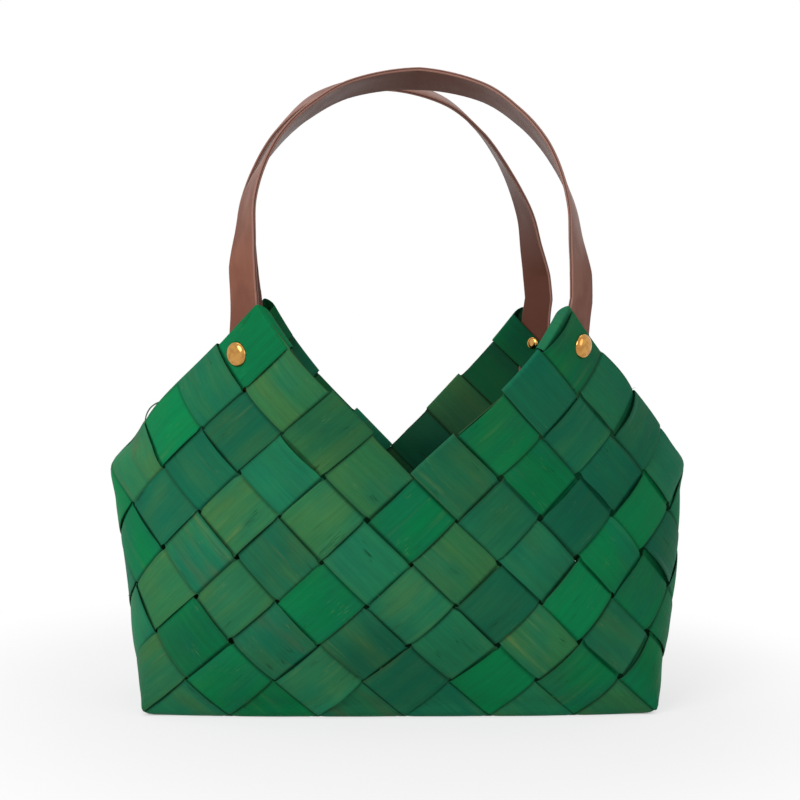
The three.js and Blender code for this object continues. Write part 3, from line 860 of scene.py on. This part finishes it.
def stripPiece(name, strip, rng, dye, material):
    path = stripPath(strip, rng)
    along, lift, w = path["along"], path["lift"], path["w"]
    leftEdge = -stripPitch / 2 + edgeInset(strip, path, rng, 0)
    rightEdge = stripPitch / 2 - edgeInset(strip, path, rng, 1)
    across = leftEdge[:, None] + (rightEdge - leftEdge)[:, None] * (w[None, :] + 1) / 2
    lane = strip["lane"] + 0.5 + across / stripPitch
    run = along * stripPitch
    dRun = np.gradient(run, axis=0)
    dLift = np.gradient(lift, axis=0)
    length = np.maximum(np.hypot(dRun, dLift), 1e-9)
    half = weave["thickness"] / 2 * (1 - weave["edgeThin"] * np.abs(w[None, :]) ** weave["edgePower"])
    faces = []
    for sign in (1, -1):
        p, n = onSkin(strip, (run - sign * dLift / length * half) / stripPitch, lane)
        p = p + n * (lift + sign * dRun / length * half)[..., None]
        p[..., 2] = np.maximum(p[..., 2], 0.0)
        faces.append(p)
    rows, columns = along.shape
    points = np.concatenate([faces[0].reshape(-1, 3), faces[1].reshape(-1, 3)])
    grid = np.arange(rows * columns).reshape(rows, columns)
    under = grid + rows * columns
    quads = [
        quadRows(grid[:-1, :-1], grid[1:, :-1], grid[1:, 1:], grid[:-1, 1:]),
        quadRows(under[:-1, 1:], under[1:, 1:], under[1:, :-1], under[:-1, :-1]),
        quadRows(under[:-1, 0], under[1:, 0], grid[1:, 0], grid[:-1, 0]),
        quadRows(grid[:-1, -1], grid[1:, -1], under[1:, -1], under[:-1, -1]),
        quadRows(grid[0, :-1], grid[0, 1:], under[0, 1:], under[0, :-1]),
        quadRows(under[-1, :-1], under[-1, 1:], grid[-1, 1:], grid[-1, :-1]),
    ]
    smoothCount = len(quads[0]) * 2
    quads = outwardFaces(points, np.concatenate(quads))
    piece = meshObject(name, points * mm, quads, np.arange(smoothCount, len(quads)), [material])
    setStripTonesAndShade(piece, path, rng, across, dye)
    return piece, faces[0]


def setStripTonesAndShade(piece, path, rng, across, dye):
    count, index, along = path["count"], path["index"], path["along"]
    olive = np.clip(rng.normal(oliveShare[dye["tone"]], weave["oliveSpread"], count), 0, 1)
    fresh = np.full(count, weave["freshLevel"] * dye["fresh"])
    shade = np.clip(rng.normal(*weave["shadeLevel"], count), 0, 1)
    rust = float(dye["rust"]) * rng.uniform(*weave["rustLevel"], count) * (1 - path["onRight"])
    # painted shade along the long edges of each square, of random strength
    edgeShadeLevels = rng.uniform(*weave["edgeShadeLevel"], (count, 2))
    worn = rng.random_sample((count, 2)) < weave["wearShare"]
    wear = np.where(worn, rng.uniform(*weave["wear"], (count, 2)), weave["leastWear"])
    leftSide = path["w"][None, :] < 0
    edgeGap = np.minimum(across - across[:, :1], across[:, -1:] - across)
    edgeShade = np.where(leftSide, edgeShadeLevels[index, :1], edgeShadeLevels[index, 1:])
    edgeShade = edgeShade * (1 - smooth(edgeGap / weave["edgeShadeLength"]))
    edgeWear = np.where(leftSide, wear[index, :1], wear[index, 1:]) * (edgeGap < weave["wearReach"])
    shift = np.full_like(along, rng.uniform(0, weave["grainShift"]))
    grain = np.stack([along * stripPitch * mm, across * mm, shift], -1)
    setVectors(piece, "grain", np.concatenate([grain.reshape(-1, 3)] * 2))
    # painted shade at joins and edges, and the cut edges' own paler colour
    layers = {
        "contactShade": np.maximum(path["contactShade"][:, None], edgeShade),
        "cut": np.maximum(path["cut"][:, None], edgeWear),
    }
    wide = np.ones((1, along.shape[1]))
    # less olive on the right: partly the strips' own tone, partly painted light from the left
    olive = olive * (1 - weave["oliveRight"] * path["onRight"])
    for name, values in (("olive", olive), ("fresh", fresh), ("shade", shade), ("rust", rust)):
        layers[name] = np.interp(along[:, 0], centresOf(path), values)[:, None] * wide
    for name, values in layers.items():
        setFloats(piece, name, np.concatenate([values.ravel()] * 2))
    # painted shade: the folded flaps darken row by row, the inner faces fully
    shaded = weave["flapShade"] * path["inside"][:, None] * wide
    setFloats(piece, "inside", np.concatenate([shaded.ravel(), np.ones(along.size)]))


lanes = hs + hd
rng = np.random.RandomState(weave["seed"])
wovenFaces = []
for i in range(-lanes, lanes):
    number = i + lanes + 1
    for family, strip in (("right", rightLeaning(i)), ("left", leftLeaning(i))):
        tone = dyes[family][number - 1]
        own = (family, number)
        dye = {"tone": tone, "rust": own == rustStrip, "fresh": own == freshStrip}
        piece, outside = stripPiece(f"veneer_{family}_{number}", strip, rng, dye, veneerMaterials[tone])
        wovenFaces.append(outside)
        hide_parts(f"{family}_strip_{number}")
        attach(piece, "bag")
print("strips woven")

# Leather handles: tab inside the peak, hinge above the rim, then the arch (mm)
strap = {
    "width": 22.0,
    "thickness": 2.5,
    "edgeRound": 0.8,
    "tabOutside": -2.75,  # from the middle of the weave
    "belowRivet": 26.0,
    "abovePeak": 6.0,
    "hingeOut": 15.5,
    "height": 128.0,
    "topSpread": 13.2,
    "sway": {  # each top hangs to one side: how far, how late and with how much bow
        "front": (5.0, 3.0, -2.5),
        "back": (16.0, 1.0, 0.0),
    },
    "path": (  # outwards, away from the other handle and up, as shares of the arch
        (1.0, 1.01, 0.12),
        (0.98, 0.98, 0.26),
        (0.96, 0.93, 0.4),
        (0.9, 0.85, 0.54),
        (0.8, 0.69, 0.68),
        (0.64, 0.41, 0.82),
        (0.405, 0.15, 0.94),
        (0.0, 0.0, 1.0),
        (-0.405, 0.15, 0.94),
    ),
    "twist": ((0.12, 41.0), (0.26, 27.0), (0.42, 15.0), (0.6, 0.0), (0.8, -10.0), (1.0, -25.0)),
    "gap": 0.3,
    "curveStep": 0.002,
    "cornerPoints": 5,
    "flatPoints": 11,
    "sidePoints": 5,
    "edgeShare": 0.75,  # share of the rounding that is cut edge
    # the dark line in the middle of the cut edge: partly the edge's own colour, partly painted shade of
    # a groove
    "grooveHalf": 0.3,
    "grooveLevel": 0.9,
    "stations": 72,
    "tabStations": 16,
    "endRound": 7.0,
    "bendStart": 236.0,
    "bendEnd": 262.0,
}
rivet = {
    "drops": (29.0, 21.0, 25.0, 25.0),  # below each peak
    "outs": (9.0, 6.0, 8.0, 8.0),  # away from the valley
    "capSeat": 0.95,  # outside of the weave
    "discSeat": 6.75,  # inside of the flap that covers the tab
    "capRadius": 7.0,
    "capRise": 2.8,
    "capRim": 0.5,
    "discRadius": 4.0,
    "discRise": 1.2,
    "discRim": 0.5,
    "domePower": 2.6,
    "upperFrom": 1e-6,  # points above this are domed
    "sideRings": 2,
    "segments": 56,
    "rings": 12,
}
tabTop = peakHeight + strap["abovePeak"]
tabMiddle = strap["tabOutside"] - strap["thickness"] / 2


def rivetHeight(peak):
    return peakHeight - rivet["drops"][peak]


def outwards(peak):  # away from the valley between the handle's two peaks
    return -1 if peak % 2 == 0 else 1


def rivetPlace(peak):
    middle = halfFront - bag["peakSquares"] * square + 2 * bag["peakSquares"] * square * peak
    return middle + outwards(peak) * rivet["outs"][peak]


def strapPlace(peak, t):
    slant = (strap["hingeOut"] - rivet["outs"][peak]) / (tabTop - rivetHeight(peak))
    return rivetPlace(peak) + outwards(peak) * slant * (t - rivetHeight(peak))


def hingeFrame(peak):
    p, along, _, n = wallFrame(strapPlace(peak, tabTop), tabTop)
    return p + n * tabMiddle, along, np.cross(n, along)


def curvePoint(points, u):  # a centripetal curve through the points
    place = (len(points) - 1) * u
    k = min(int(place), len(points) - 2)
    f = place - k
    p1, p2 = points[k], points[k + 1]
    p0 = points[k - 1] if k > 0 else 2 * p1 - p2
    p3 = points[k + 2] if k + 2 < len(points) else 2 * p2 - p1
    d0, d1, d2 = (math.sqrt(np.linalg.norm(b - a)) for a, b in ((p0, p1), (p1, p2), (p2, p3)))
    m1 = ((p1 - p0) / d0 - (p2 - p0) / (d0 + d1) + (p2 - p1) / d1) * d1
    m2 = ((p2 - p1) / d1 - (p3 - p1) / (d1 + d2) + (p3 - p2) / d2) * d1
    return p1 + f * (m1 + f * (3 * (p2 - p1) - 2 * m1 - m2 + f * (2 * (p1 - p2) + m1 + m2)))


def turnedSides(tangent):
    one = np.array([0.0, -1, 0])
    one = unit(one - tangent * np.dot(one, tangent))
    return one, np.cross(tangent, one)


def archStations(side):  # from the left foot over the top to the right foot: place and across
    start, startAlong, startUp = hingeFrame(0)
    foot = start + startUp * strap["gap"]
    span = abs(foot[0])
    depth = -foot[1] - strap["topSpread"]
    path = [foot]
    for outK, inK, upK in strap["path"]:
        y = -strap["topSpread"] - depth * inK
        path.append(np.array([-span * outK, y, foot[2] + strap["height"] * upK]))
    one, two = turnedSides(startUp)
    startTurn = math.degrees(math.atan2(np.dot(startAlong, two), np.dot(startAlong, one)))
    shares, turns = zip((0.0, startTurn), *strap["twist"])
    topU = (len(path) - 2) / (len(path) - 1)
    places, acrosses = [], []
    for share in np.linspace(0, 1, strap["stations"] + 1):
        u = topU * share
        before, after = max(0, u - strap["curveStep"]), min(1, u + strap["curveStep"])
        tangent = startUp if share == 0 else unit(curvePoint(path, after) - curvePoint(path, before))
        one, two = turnedSides(tangent)
        turn = math.radians(np.interp(share, shares, turns))
        places.append(curvePoint(path, u))
        acrosses.append(math.cos(turn) * one + math.sin(turn) * two)
    mirror = np.array([-1.0, 1, 1])
    places = np.concatenate([places, np.array(places)[-2::-1] * mirror])
    acrosses = np.concatenate([acrosses, np.array(acrosses)[-2::-1] * mirror])
    sway, late, bow = strap["sway"][side]
    rise = np.clip((places[:, 2] - foot[2]) / strap["height"], 0, 1)
    places[:, 0] += sway * rise ** late + bow * np.sin(math.pi * rise)
    return places, acrosses


def tabStations(peak):
    lowest = rivetHeight(peak) - strap["belowRivet"]
    t = np.linspace(lowest, tabTop, strap["tabStations"], endpoint=False)
    p, along, _, n = wallFrame(strapPlace(peak, t), t)
    return p + n * tabMiddle, along


def strapSection():  # half widths and half thicknesses round a strap with rounded edges
    halfWidth = strap["width"] / 2
    halfThick = strap["thickness"] / 2
    r = strap["edgeRound"]
    turn = np.linspace(0, math.pi / 2, strap["cornerPoints"])
    flat = np.linspace(-1, 1, strap["flatPoints"])[1:-1] * (halfWidth - r)
    side = np.linspace(1, -1, strap["sidePoints"])[1:-1] * (halfThick - r)
    corner = [(halfWidth - r + r * math.sin(a), halfThick - r + r * math.cos(a)) for a in turn]
    rim = [(halfWidth, v) for v in side]
    lower = [(x, -y) for x, y in corner[::-1]]
    half = corner + rim + lower
    top = [(x, halfThick) for x in flat]
    ring = top + half + [(-x, -halfThick) for x in flat] + [(-x, -y) for x, y in half]
    return np.array(ring)


def strapPiece(name, side):
    archP, archAcross = archStations(side)
    firstPeak = 0
    if side == "back":
        halfTurn = np.array([-1.0, -1, 1])
        archP, archAcross = archP * halfTurn, archAcross * halfTurn
        firstPeak = 2
    firstP, firstAlong = tabStations(firstPeak)
    lastP, lastAlong = tabStations(firstPeak + 1)
    centre = np.concatenate([firstP, archP, lastP[::-1]])
    across = np.concatenate([firstAlong, archAcross, -lastAlong[::-1]])
    tangent = unit(np.gradient(centre, axis=0))
    across = unit(across - tangent * np.sum(across * tangent, axis=1, keepdims=True))
    facing = unit(np.cross(across, tangent))
    length = np.concatenate([[0], np.cumsum(np.linalg.norm(np.diff(centre, axis=0), axis=1))])
    ring = strapSection()
    ends = np.minimum(length, length[-1] - length)
    r = strap["endRound"]
    drop = np.clip(1 - ends / r, 0, 0.999)
    halfWidth = strap["width"] / 2
    narrow = 1 - (r / halfWidth) * (1 - np.sqrt(1 - drop ** 2))
    x = ring[None, :, 0] * narrow[:, None]
    points = centre[:, None] + across[:, None] * x[..., None] + facing[:, None] * ring[None, :, 1, None]
    rows = len(points)
    flat = points.reshape(-1, 3)
    quads, capCount = tubeFaces(rows, len(ring))
    quads = outwardFaces(flat, quads)
    caps = np.arange(len(quads) - capCount, len(quads))
    piece = meshObject(name, flat * mm, quads, caps, [strapLeather])
    sideOn = np.abs(ring[:, 0]) > halfWidth - strap["edgeRound"] * strap["edgeShare"]
    inGroove = sideOn & (np.abs(ring[:, 1]) < strap["grooveHalf"])
    place = np.broadcast_arrays(length[:, None], ring[None, :, 0], ring[None, :, 1])
    setVectors(piece, "grain", (np.stack(place, -1) * mm).reshape(-1, 3))
    setFloats(piece, "edge", np.tile(np.where(sideOn, 1.0, 0.0), rows))
    # a dark line on the cut edge, partly its own colour and partly painted groove shade
    setFloats(piece, "grooveLineAndShade", np.tile(np.where(inGroove, strap["grooveLevel"], 0.0), rows))
    setFloats(piece, "inner", np.tile(np.where(ring[:, 1] < 0, 1.0, 0.0), rows))
    return piece


for side, sign in (("front", 1), ("back", -1)):
    piece = strapPiece(f"{side}_strap", side)
    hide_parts(f"{side}_handle_loop", f"{side}_handle_left_tab", f"{side}_handle_right_tab")
    hinge = hingeFrame(0)[0][1] * sign * mm
    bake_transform(piece)
print("straps bent")


def newTree(name, sizes, counts):  # a node tree with named inputs
    tree = bpy.data.node_groups.new(name, "GeometryNodeTree")
    sockets = [("Geometry", "Geometry")] + [(label, "Float") for label in sizes]
    sockets += [(label, "Int") for label in counts] + [("Finish", "Material")]
    for label, kind in sockets:
        tree.interface.new_socket(label, in_out="INPUT", socket_type="NodeSocket" + kind)
    tree.interface.new_socket("Geometry", in_out="OUTPUT", socket_type="NodeSocketGeometry")
    return tree, tree.nodes.new("NodeGroupInput").outputs


def alongArrow(tree):  # a turn along the arrow that each point has
    kind = "FLOAT_VECTOR"
    arrow = addNode(tree, "GeometryNodeInputNamedAttribute", {"Name": "facing"}, data_type=kind)
    inputs = {"Vector": arrow.outputs[0]}
    return addNode(tree, "FunctionNodeAlignRotationToVector", inputs, axis="Z").outputs[0]


def setOnPoints(tree, given, shape, **turns):  # ends a tree: one shape on each point, real and finished
    inputs = {"Points": given["Geometry"], "Instance": shape, **turns}
    heads = addNode(tree, "GeometryNodeInstanceOnPoints", inputs).outputs[0]
    solid = addNode(tree, "GeometryNodeRealizeInstances", {0: heads}).outputs[0]
    inputs = {"Geometry": solid, "Material": given["Finish"]}
    finished = addNode(tree, "GeometryNodeSetMaterial", inputs).outputs[0]
    tree.links.new(finished, tree.nodes.new("NodeGroupOutput").inputs[0])


# Rivets: a node tree makes one domed head and sets it on each point
def rivetTree():
    sizes = ("Head radius", "Head rise", "Rim height")
    tree, given = newTree("rivetHeads", sizes, ("Segments", "Rings"))
    disc = addNode(tree, "GeometryNodeMeshCylinder", {
        "Vertices": given["Segments"],
        "Side Segments": rivet["sideRings"],
        "Fill Segments": given["Rings"],
        "Radius": given["Head radius"],
        "Depth": given["Rim height"],
    }, fill_type="TRIANGLE_FAN")
    position = tree.nodes.new("GeometryNodeInputPosition").outputs[0]
    parts = addNode(tree, "ShaderNodeSeparateXYZ", {0: position}).outputs
    flat = addNode(tree, "ShaderNodeCombineXYZ", {0: parts[0], 1: parts[1]}).outputs[0]
    reach = addNode(tree, "ShaderNodeVectorMath", {0: flat}, operation="LENGTH").outputs["Value"]
    steep = maths(tree, "POWER", maths(tree, "DIVIDE", reach, given["Head radius"]), rivet["domePower"])
    dome = maths(tree, "SQRT", maths(tree, "SUBTRACT", 1.0, steep, use_clamp=True))
    lift = addNode(tree, "ShaderNodeCombineXYZ", {2: times(tree, dome, given["Head rise"])}).outputs[0]
    inputs = {0: parts[2], 1: rivet["upperFrom"]}
    upper = addNode(tree, "FunctionNodeCompare", inputs, operation="GREATER_THAN").outputs[0]
    inputs = {"Geometry": disc.outputs["Mesh"], "Selection": upper, "Offset": lift}
    domed = addNode(tree, "GeometryNodeSetPosition", inputs).outputs[0]
    shaded = addNode(tree, "GeometryNodeSetShadeSmooth", {0: domed}).outputs[0]
    setOnPoints(tree, given, shaded, Rotation=alongArrow(tree))
    return tree


def nodesPiece(name, tree, mesh, values):  # runs a tree on a mesh and keeps the result as a plain mesh
    piece = bpy.data.objects.new(name, mesh)
    bpy.context.scene.collection.objects.link(piece)
    modifier = piece.modifiers.new(name, "NODES")
    modifier.node_group = tree
    for item in tree.interface.items_tree:
        if item.in_out == "INPUT" and item.name in values:
            modifier[item.identifier] = values[item.name]
    graph = bpy.context.evaluated_depsgraph_get()
    result = bpy.data.meshes.new_from_object(piece.evaluated_get(graph))
    piece.modifiers.clear()
    piece.data = result
    return piece


def arrowPoints(name, places, arrows):
    mesh = bpy.data.meshes.new(name)
    mesh.from_pydata((places * mm).tolist(), [], [])
    layer = mesh.attributes.new("facing", "FLOAT_VECTOR", "POINT")
    layer.data.foreach_set("vector", arrows.astype(np.float32).ravel())
    return mesh


peaks = range(4)
rivetSpots = np.array([rivetPlace(k) for k in peaks])
rivetHeights = np.array([rivetHeight(k) for k in peaks])
rivetP, _, _, rivetN = wallFrame(rivetSpots, rivetHeights)
headTree = rivetTree()
capBase = rivetP + rivetN * (rivet["capSeat"] + rivet["capRim"] / 2)
discBase = rivetP - rivetN * (rivet["discSeat"] + rivet["discRim"] / 2)
peakNames = ["front_left", "front_right", "back_right", "back_left"]
heads = (
    ("rivet_caps", capBase, rivetN, "cap", "_rivet_cap"),
    ("rivet_discs", discBase, -rivetN, "disc", "_rivet_post"),
)
for name, places, arrows, kind, suffix in heads:
    piece = nodesPiece(name, headTree, arrowPoints(name, places, arrows), {
        "Head radius": rivet[kind + "Radius"] * mm,
        "Head rise": rivet[kind + "Rise"] * mm,
        "Rim height": rivet[kind + "Rim"] * mm,
        "Segments": rivet["segments"],
        "Rings": rivet["rings"],
        "Finish": rivetBrass,
    })
    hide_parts(*[peak + suffix for peak in peakNames])
    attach(piece, "bag")
print("rivets set")

# Loose fibres: a node tree bends a thin hair and sets one on each point
fibres = {
    "perStrip": 6,
    "lowest": 8.0,  # mm above the floor
    "slimness": 0.028,  # radius as a share of the length
    "tip": 0.25,  # share of the radius that is left at the tip
    "bend": 0.3,
    "shortest": 1.5,
    "longest": 4.5,
    "spin": 6.28,
    "endRows": 3,  # rows of a strip without fibres, at each end
    "leanAcross": 0.5,
    "leanOut": (0.2, 0.9),
    "leanAlong": (-1.5, 1.5),
    "rooted": 0.3,
    "pointsAlong": 7,
    "sides": 5,
    "seed": 5,
    "pale": srgb(84, 122, 78),
    "dark": srgb(20, 84, 52),
    "shift": ((160.0, 160.0, 160.0), 2.0),
    "shiftSpan": (0.4, 0.6),
    "wearSpan": (0.3, 0.7),
    "roughness": (0.55, 0.7),
}


def fibreMaterial():
    material, tree, shader = newMaterial("looseFibre")
    shift = noise(tree, objectPlace(tree), *fibres["shift"])
    colour = mixColour(tree, ramp(tree, shift, *fibres["shiftSpan"]), fibres["dark"], fibres["pale"])
    setSurface(tree, shader, colour, shift, fibres)
    return material


def fibreTree():
    sizes = ("Slimness", "Bend", "Shortest", "Longest")
    tree, given = newTree("looseFibres", sizes, ("Points along", "Sides", "Seed"))

    def chance(low, high):  # a number for each hair
        inputs = {2: low, 3: high, 8: given["Seed"]}
        return addNode(tree, "FunctionNodeRandomValue", inputs).outputs[1]

    inputs = {"Start": (0, 0, 0), "End": (0, 0, 1)}
    line = addNode(tree, "GeometryNodeCurvePrimitiveLine", inputs).outputs[0]
    inputs = {"Curve": line, "Count": given["Points along"]}
    fine = addNode(tree, "GeometryNodeResampleCurve", inputs).outputs[0]
    position = tree.nodes.new("GeometryNodeInputPosition").outputs[0]
    height = addNode(tree, "ShaderNodeSeparateXYZ", {0: position}).outputs[2]
    lean = times(tree, times(tree, height, height), given["Bend"])
    offset = addNode(tree, "ShaderNodeCombineXYZ", {0: lean}).outputs[0]
    bent = addNode(tree, "GeometryNodeSetPosition", {"Geometry": fine, "Offset": offset}).outputs[0]
    inputs = {"Value": height, "To Min": 1.0, "To Max": fibres["tip"]}
    thin = addNode(tree, "ShaderNodeMapRange", inputs).outputs[0]
    tapered = addNode(tree, "GeometryNodeSetCurveRadius", {"Curve": bent, "Radius": thin}).outputs[0]
    inputs = {"Resolution": given["Sides"], "Radius": given["Slimness"]}
    ring = addNode(tree, "GeometryNodeCurvePrimitiveCircle", inputs).outputs[0]
    inputs = {"Curve": tapered, "Profile Curve": ring, "Fill Caps": True}
    hair = addNode(tree, "GeometryNodeCurveToMesh", inputs).outputs[0]
    inputs = {"Axis": (0, 0, 1), "Angle": chance(0.0, fibres["spin"])}
    spin = addNode(tree, "FunctionNodeAxisAngleToRotation", inputs).outputs[0]
    inputs = {0: alongArrow(tree), 1: spin}
    turned = addNode(tree, "FunctionNodeRotateRotation", inputs, rotation_space="LOCAL").outputs[0]
    length = chance(given["Shortest"], given["Longest"])
    setOnPoints(tree, given, hair, Rotation=turned, Scale=length)
    return tree


def fibrePlaces():  # on the long edges of the strips, leaning outwards
    chance = np.random.RandomState(fibres["seed"])
    places, arrows = [], []
    for grid in wovenFaces:
        for k in range(fibres["perStrip"]):
            row = chance.randint(fibres["endRows"], len(grid) - fibres["endRows"])
            column, inner = ((0, 2), (-1, -3))[chance.randint(2)]
            p = grid[row, column]
            across = unit(p - grid[row, inner])
            along = unit(grid[row + 1, column] - grid[row - 1, column])
            n = np.cross(along, across) * (1 if column else -1)
            lean = across * fibres["leanAcross"] + n * chance.uniform(*fibres["leanOut"])
            lean = unit(lean + along * chance.uniform(*fibres["leanAlong"]))
            if p[2] > fibres["lowest"]:
                places.append(p - lean * fibres["rooted"])
                arrows.append(lean)
    return np.array(places), np.array(arrows)


looseFibre = fibreMaterial()
hairPlaces, hairArrows = fibrePlaces()
piece = nodesPiece("loose_fibres", fibreTree(), arrowPoints("loose_fibres", hairPlaces, hairArrows), {
    "Slimness": fibres["slimness"],
    "Bend": fibres["bend"],
    "Shortest": fibres["shortest"] * mm,
    "Longest": fibres["longest"] * mm,
    "Points along": fibres["pointsAlong"],
    "Sides": fibres["sides"],
    "Seed": fibres["seed"],
    "Finish": looseFibre,
})
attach(piece, "bag")

# A splinter that has sprung loose from the left slope of the rim
splinter = {
    "path": (  # mm round the wall, up it and outwards
        (791.0, 189.5, 0.3),
        (786.0, 188.3, 1.2),
        (781.0, 185.2, 1.8),
        (777.0, 180.6, 1.6),
        (774.3, 174.8, 0.8),
    ),
    "radius": (0.55, 0.35),
    "stations": 24,
    "sides": 6,
}


def splinterPiece():
    spots = np.array(splinter["path"])
    p, _, _, n = wallFrame(spots[:, 0], spots[:, 1])
    path = list(p + n * spots[:, 2:])
    centre = np.array([curvePoint(path, u) for u in np.linspace(0, 1, splinter["stations"])])
    tangent = unit(np.gradient(centre, axis=0))
    one = unit(np.cross(tangent, n[0]))
    two = np.cross(tangent, one)
    angles = np.linspace(0, 2 * math.pi, splinter["sides"], endpoint=False)[None, :, None]
    radius = np.linspace(*splinter["radius"], splinter["stations"])[:, None, None]
    ring = one[:, None] * np.cos(angles) + two[:, None] * np.sin(angles)
    points = (centre[:, None] + radius * ring).reshape(-1, 3)
    quads, _ = tubeFaces(splinter["stations"], splinter["sides"])
    return meshObject("rim_splinter", points * mm, outwardFaces(points, quads), [], [looseFibre])


piece = splinterPiece()
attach(piece, "bag")
print("fibres loose")

# Camera, fitted to the corners of the weave
view = {
    "place": (-76.0, -934.2, 246.0),  # mm
    "yaw": 0.08,
    "pitch": 0.07,
    "roll": 0.019,
    "focal": 1550.0,  # pixels
    "imageWidth": 800,
    "sensorWidth": 36.0,
    "clipStart": 0.01,
}


def placeCamera():
    yaw, pitch, roll = view["yaw"], view["pitch"], view["roll"]
    right = Vector((math.cos(yaw), -math.sin(yaw), 0))
    level = math.cos(pitch)
    ahead = Vector((math.sin(yaw) * level, math.cos(yaw) * level, -math.sin(pitch)))
    up = right.cross(ahead)
    camX = right * math.cos(roll) + up * math.sin(roll)
    camY = up * math.cos(roll) - right * math.sin(roll)
    turn = Matrix((camX, camY, -ahead)).transposed().to_4x4()
    data = bpy.data.cameras.new("photoCamera")
    data.sensor_width = view["sensorWidth"]
    data.lens = view["focal"] * data.sensor_width / view["imageWidth"]
    data.clip_start = view["clipStart"]
    camera = bpy.data.objects.new("photoCamera", data)
    bpy.context.scene.collection.objects.link(camera)
    camera.matrix_world = Matrix.Translation(Vector(view["place"]) * mm) @ turn
    bpy.context.scene.camera = camera


placeCamera()

# Light: a pale room, one large soft lamp on the left, weaker ones on the right and above
studio = {
    "roomLight": 0.3,
    "lamps": (  # name, place, size and power
        ("keyLamp", (-1.2, -1.3, 1.1), 1.2, 22.0),
        ("fillLamp", (1.4, -1.2, 0.8), 1.2, 5.0),
        ("topLamp", (-0.1, 0.3, 1.7), 1.3, 6.0),
    ),
    "aim": (0.0, 0.0, 0.14),
    "floorSize": 6.0,
    "floorColour": (0.9, 0.9, 0.9, 1.0),
    "shadowReach": (0.17, 0.36),
    "floorWhite": 0.72,  # how white the floor beside the bag looks by itself
    "footHalf": (0.15, 0.05, 1.0),  # under the bag it is in the bag's own shade
    "footSpan": (0.92, 1.02),
    "floorRoughness": 0.9,
}


def placeLamps():
    for name, place, size, energy in studio["lamps"]:
        data = bpy.data.lights.new(name, "AREA")
        data.shape = "DISK"
        data.size = size
        data.energy = energy
        lamp = bpy.data.objects.new(name, data)
        bpy.context.scene.collection.objects.link(lamp)
        lamp.location = place
        towards = Vector(studio["aim"]) - Vector(place)
        lamp.rotation_euler = towards.to_track_quat("-Z", "Y").to_euler()


def seenDirectly(tree):  # camera, glossy and transmission rays see plain white
    path = tree.nodes.new("ShaderNodeLightPath").outputs
    first = maths(tree, "MAXIMUM", path["Is Camera Ray"], path["Is Glossy Ray"])
    return maths(tree, "MAXIMUM", first, path["Is Transmission Ray"])


def makeRoom():
    world = bpy.data.worlds.new("paleRoom")
    world.use_nodes = True
    tree = world.node_tree
    light = tree.nodes["Background"]
    strength = ramp(tree, seenDirectly(tree), 0.0, 1.0, studio["roomLight"], 1.0)
    tree.links.new(strength, light.inputs["Strength"])
    light.inputs["Color"].default_value = (1, 1, 1, 1)
    bpy.context.scene.world = world


def makeFloor():
    half = studio["floorSize"] / 2
    corners = np.array([[-half, -half, 0], [half, -half, 0], [half, half, 0], [-half, half, 0]])
    material, tree, shader = newMaterial("paleFloor")
    place = objectPlace(tree)
    reach = addNode(tree, "ShaderNodeVectorMath", {0: place}, operation="LENGTH").outputs["Value"]
    far = ramp(tree, reach, *studio["shadowReach"], studio["floorWhite"], 1.0)
    white = addNode(tree, "ShaderNodeEmission", {"Color": (1, 1, 1, 1), "Strength": 1.0})
    shader.inputs["Base Color"].default_value = studio["floorColour"]
    shader.inputs["Roughness"].default_value = studio["floorRoughness"]
    shader.inputs["Specular IOR Level"].default_value = 0.0
    aside = addNode(tree, "ShaderNodeVectorMath", {0: place}, operation="ABSOLUTE").outputs[0]
    inputs = {0: aside, 1: studio["footHalf"]}
    aside = addNode(tree, "ShaderNodeVectorMath", inputs, operation="DIVIDE").outputs[0]
    sides = addNode(tree, "ShaderNodeSeparateXYZ", {0: aside}).outputs
    beside = ramp(tree, maths(tree, "MAXIMUM", sides[0], sides[1]), *studio["footSpan"])
    share = times(tree, times(tree, far, beside), seenDirectly(tree))
    mixed = addNode(tree, "ShaderNodeMixShader", {0: share, 1: shader.outputs[0], 2: white.outputs[0]})
    tree.links.new(mixed.outputs[0], tree.nodes["Material Output"].inputs["Surface"])
    floor = meshObject("floor", corners, np.array([[0, 1, 2, 3]]), [0], [material])


placeLamps()
makeRoom()
makeFloor()
bpy.context.scene.view_settings.view_transform = "Standard"
print("studio lit")
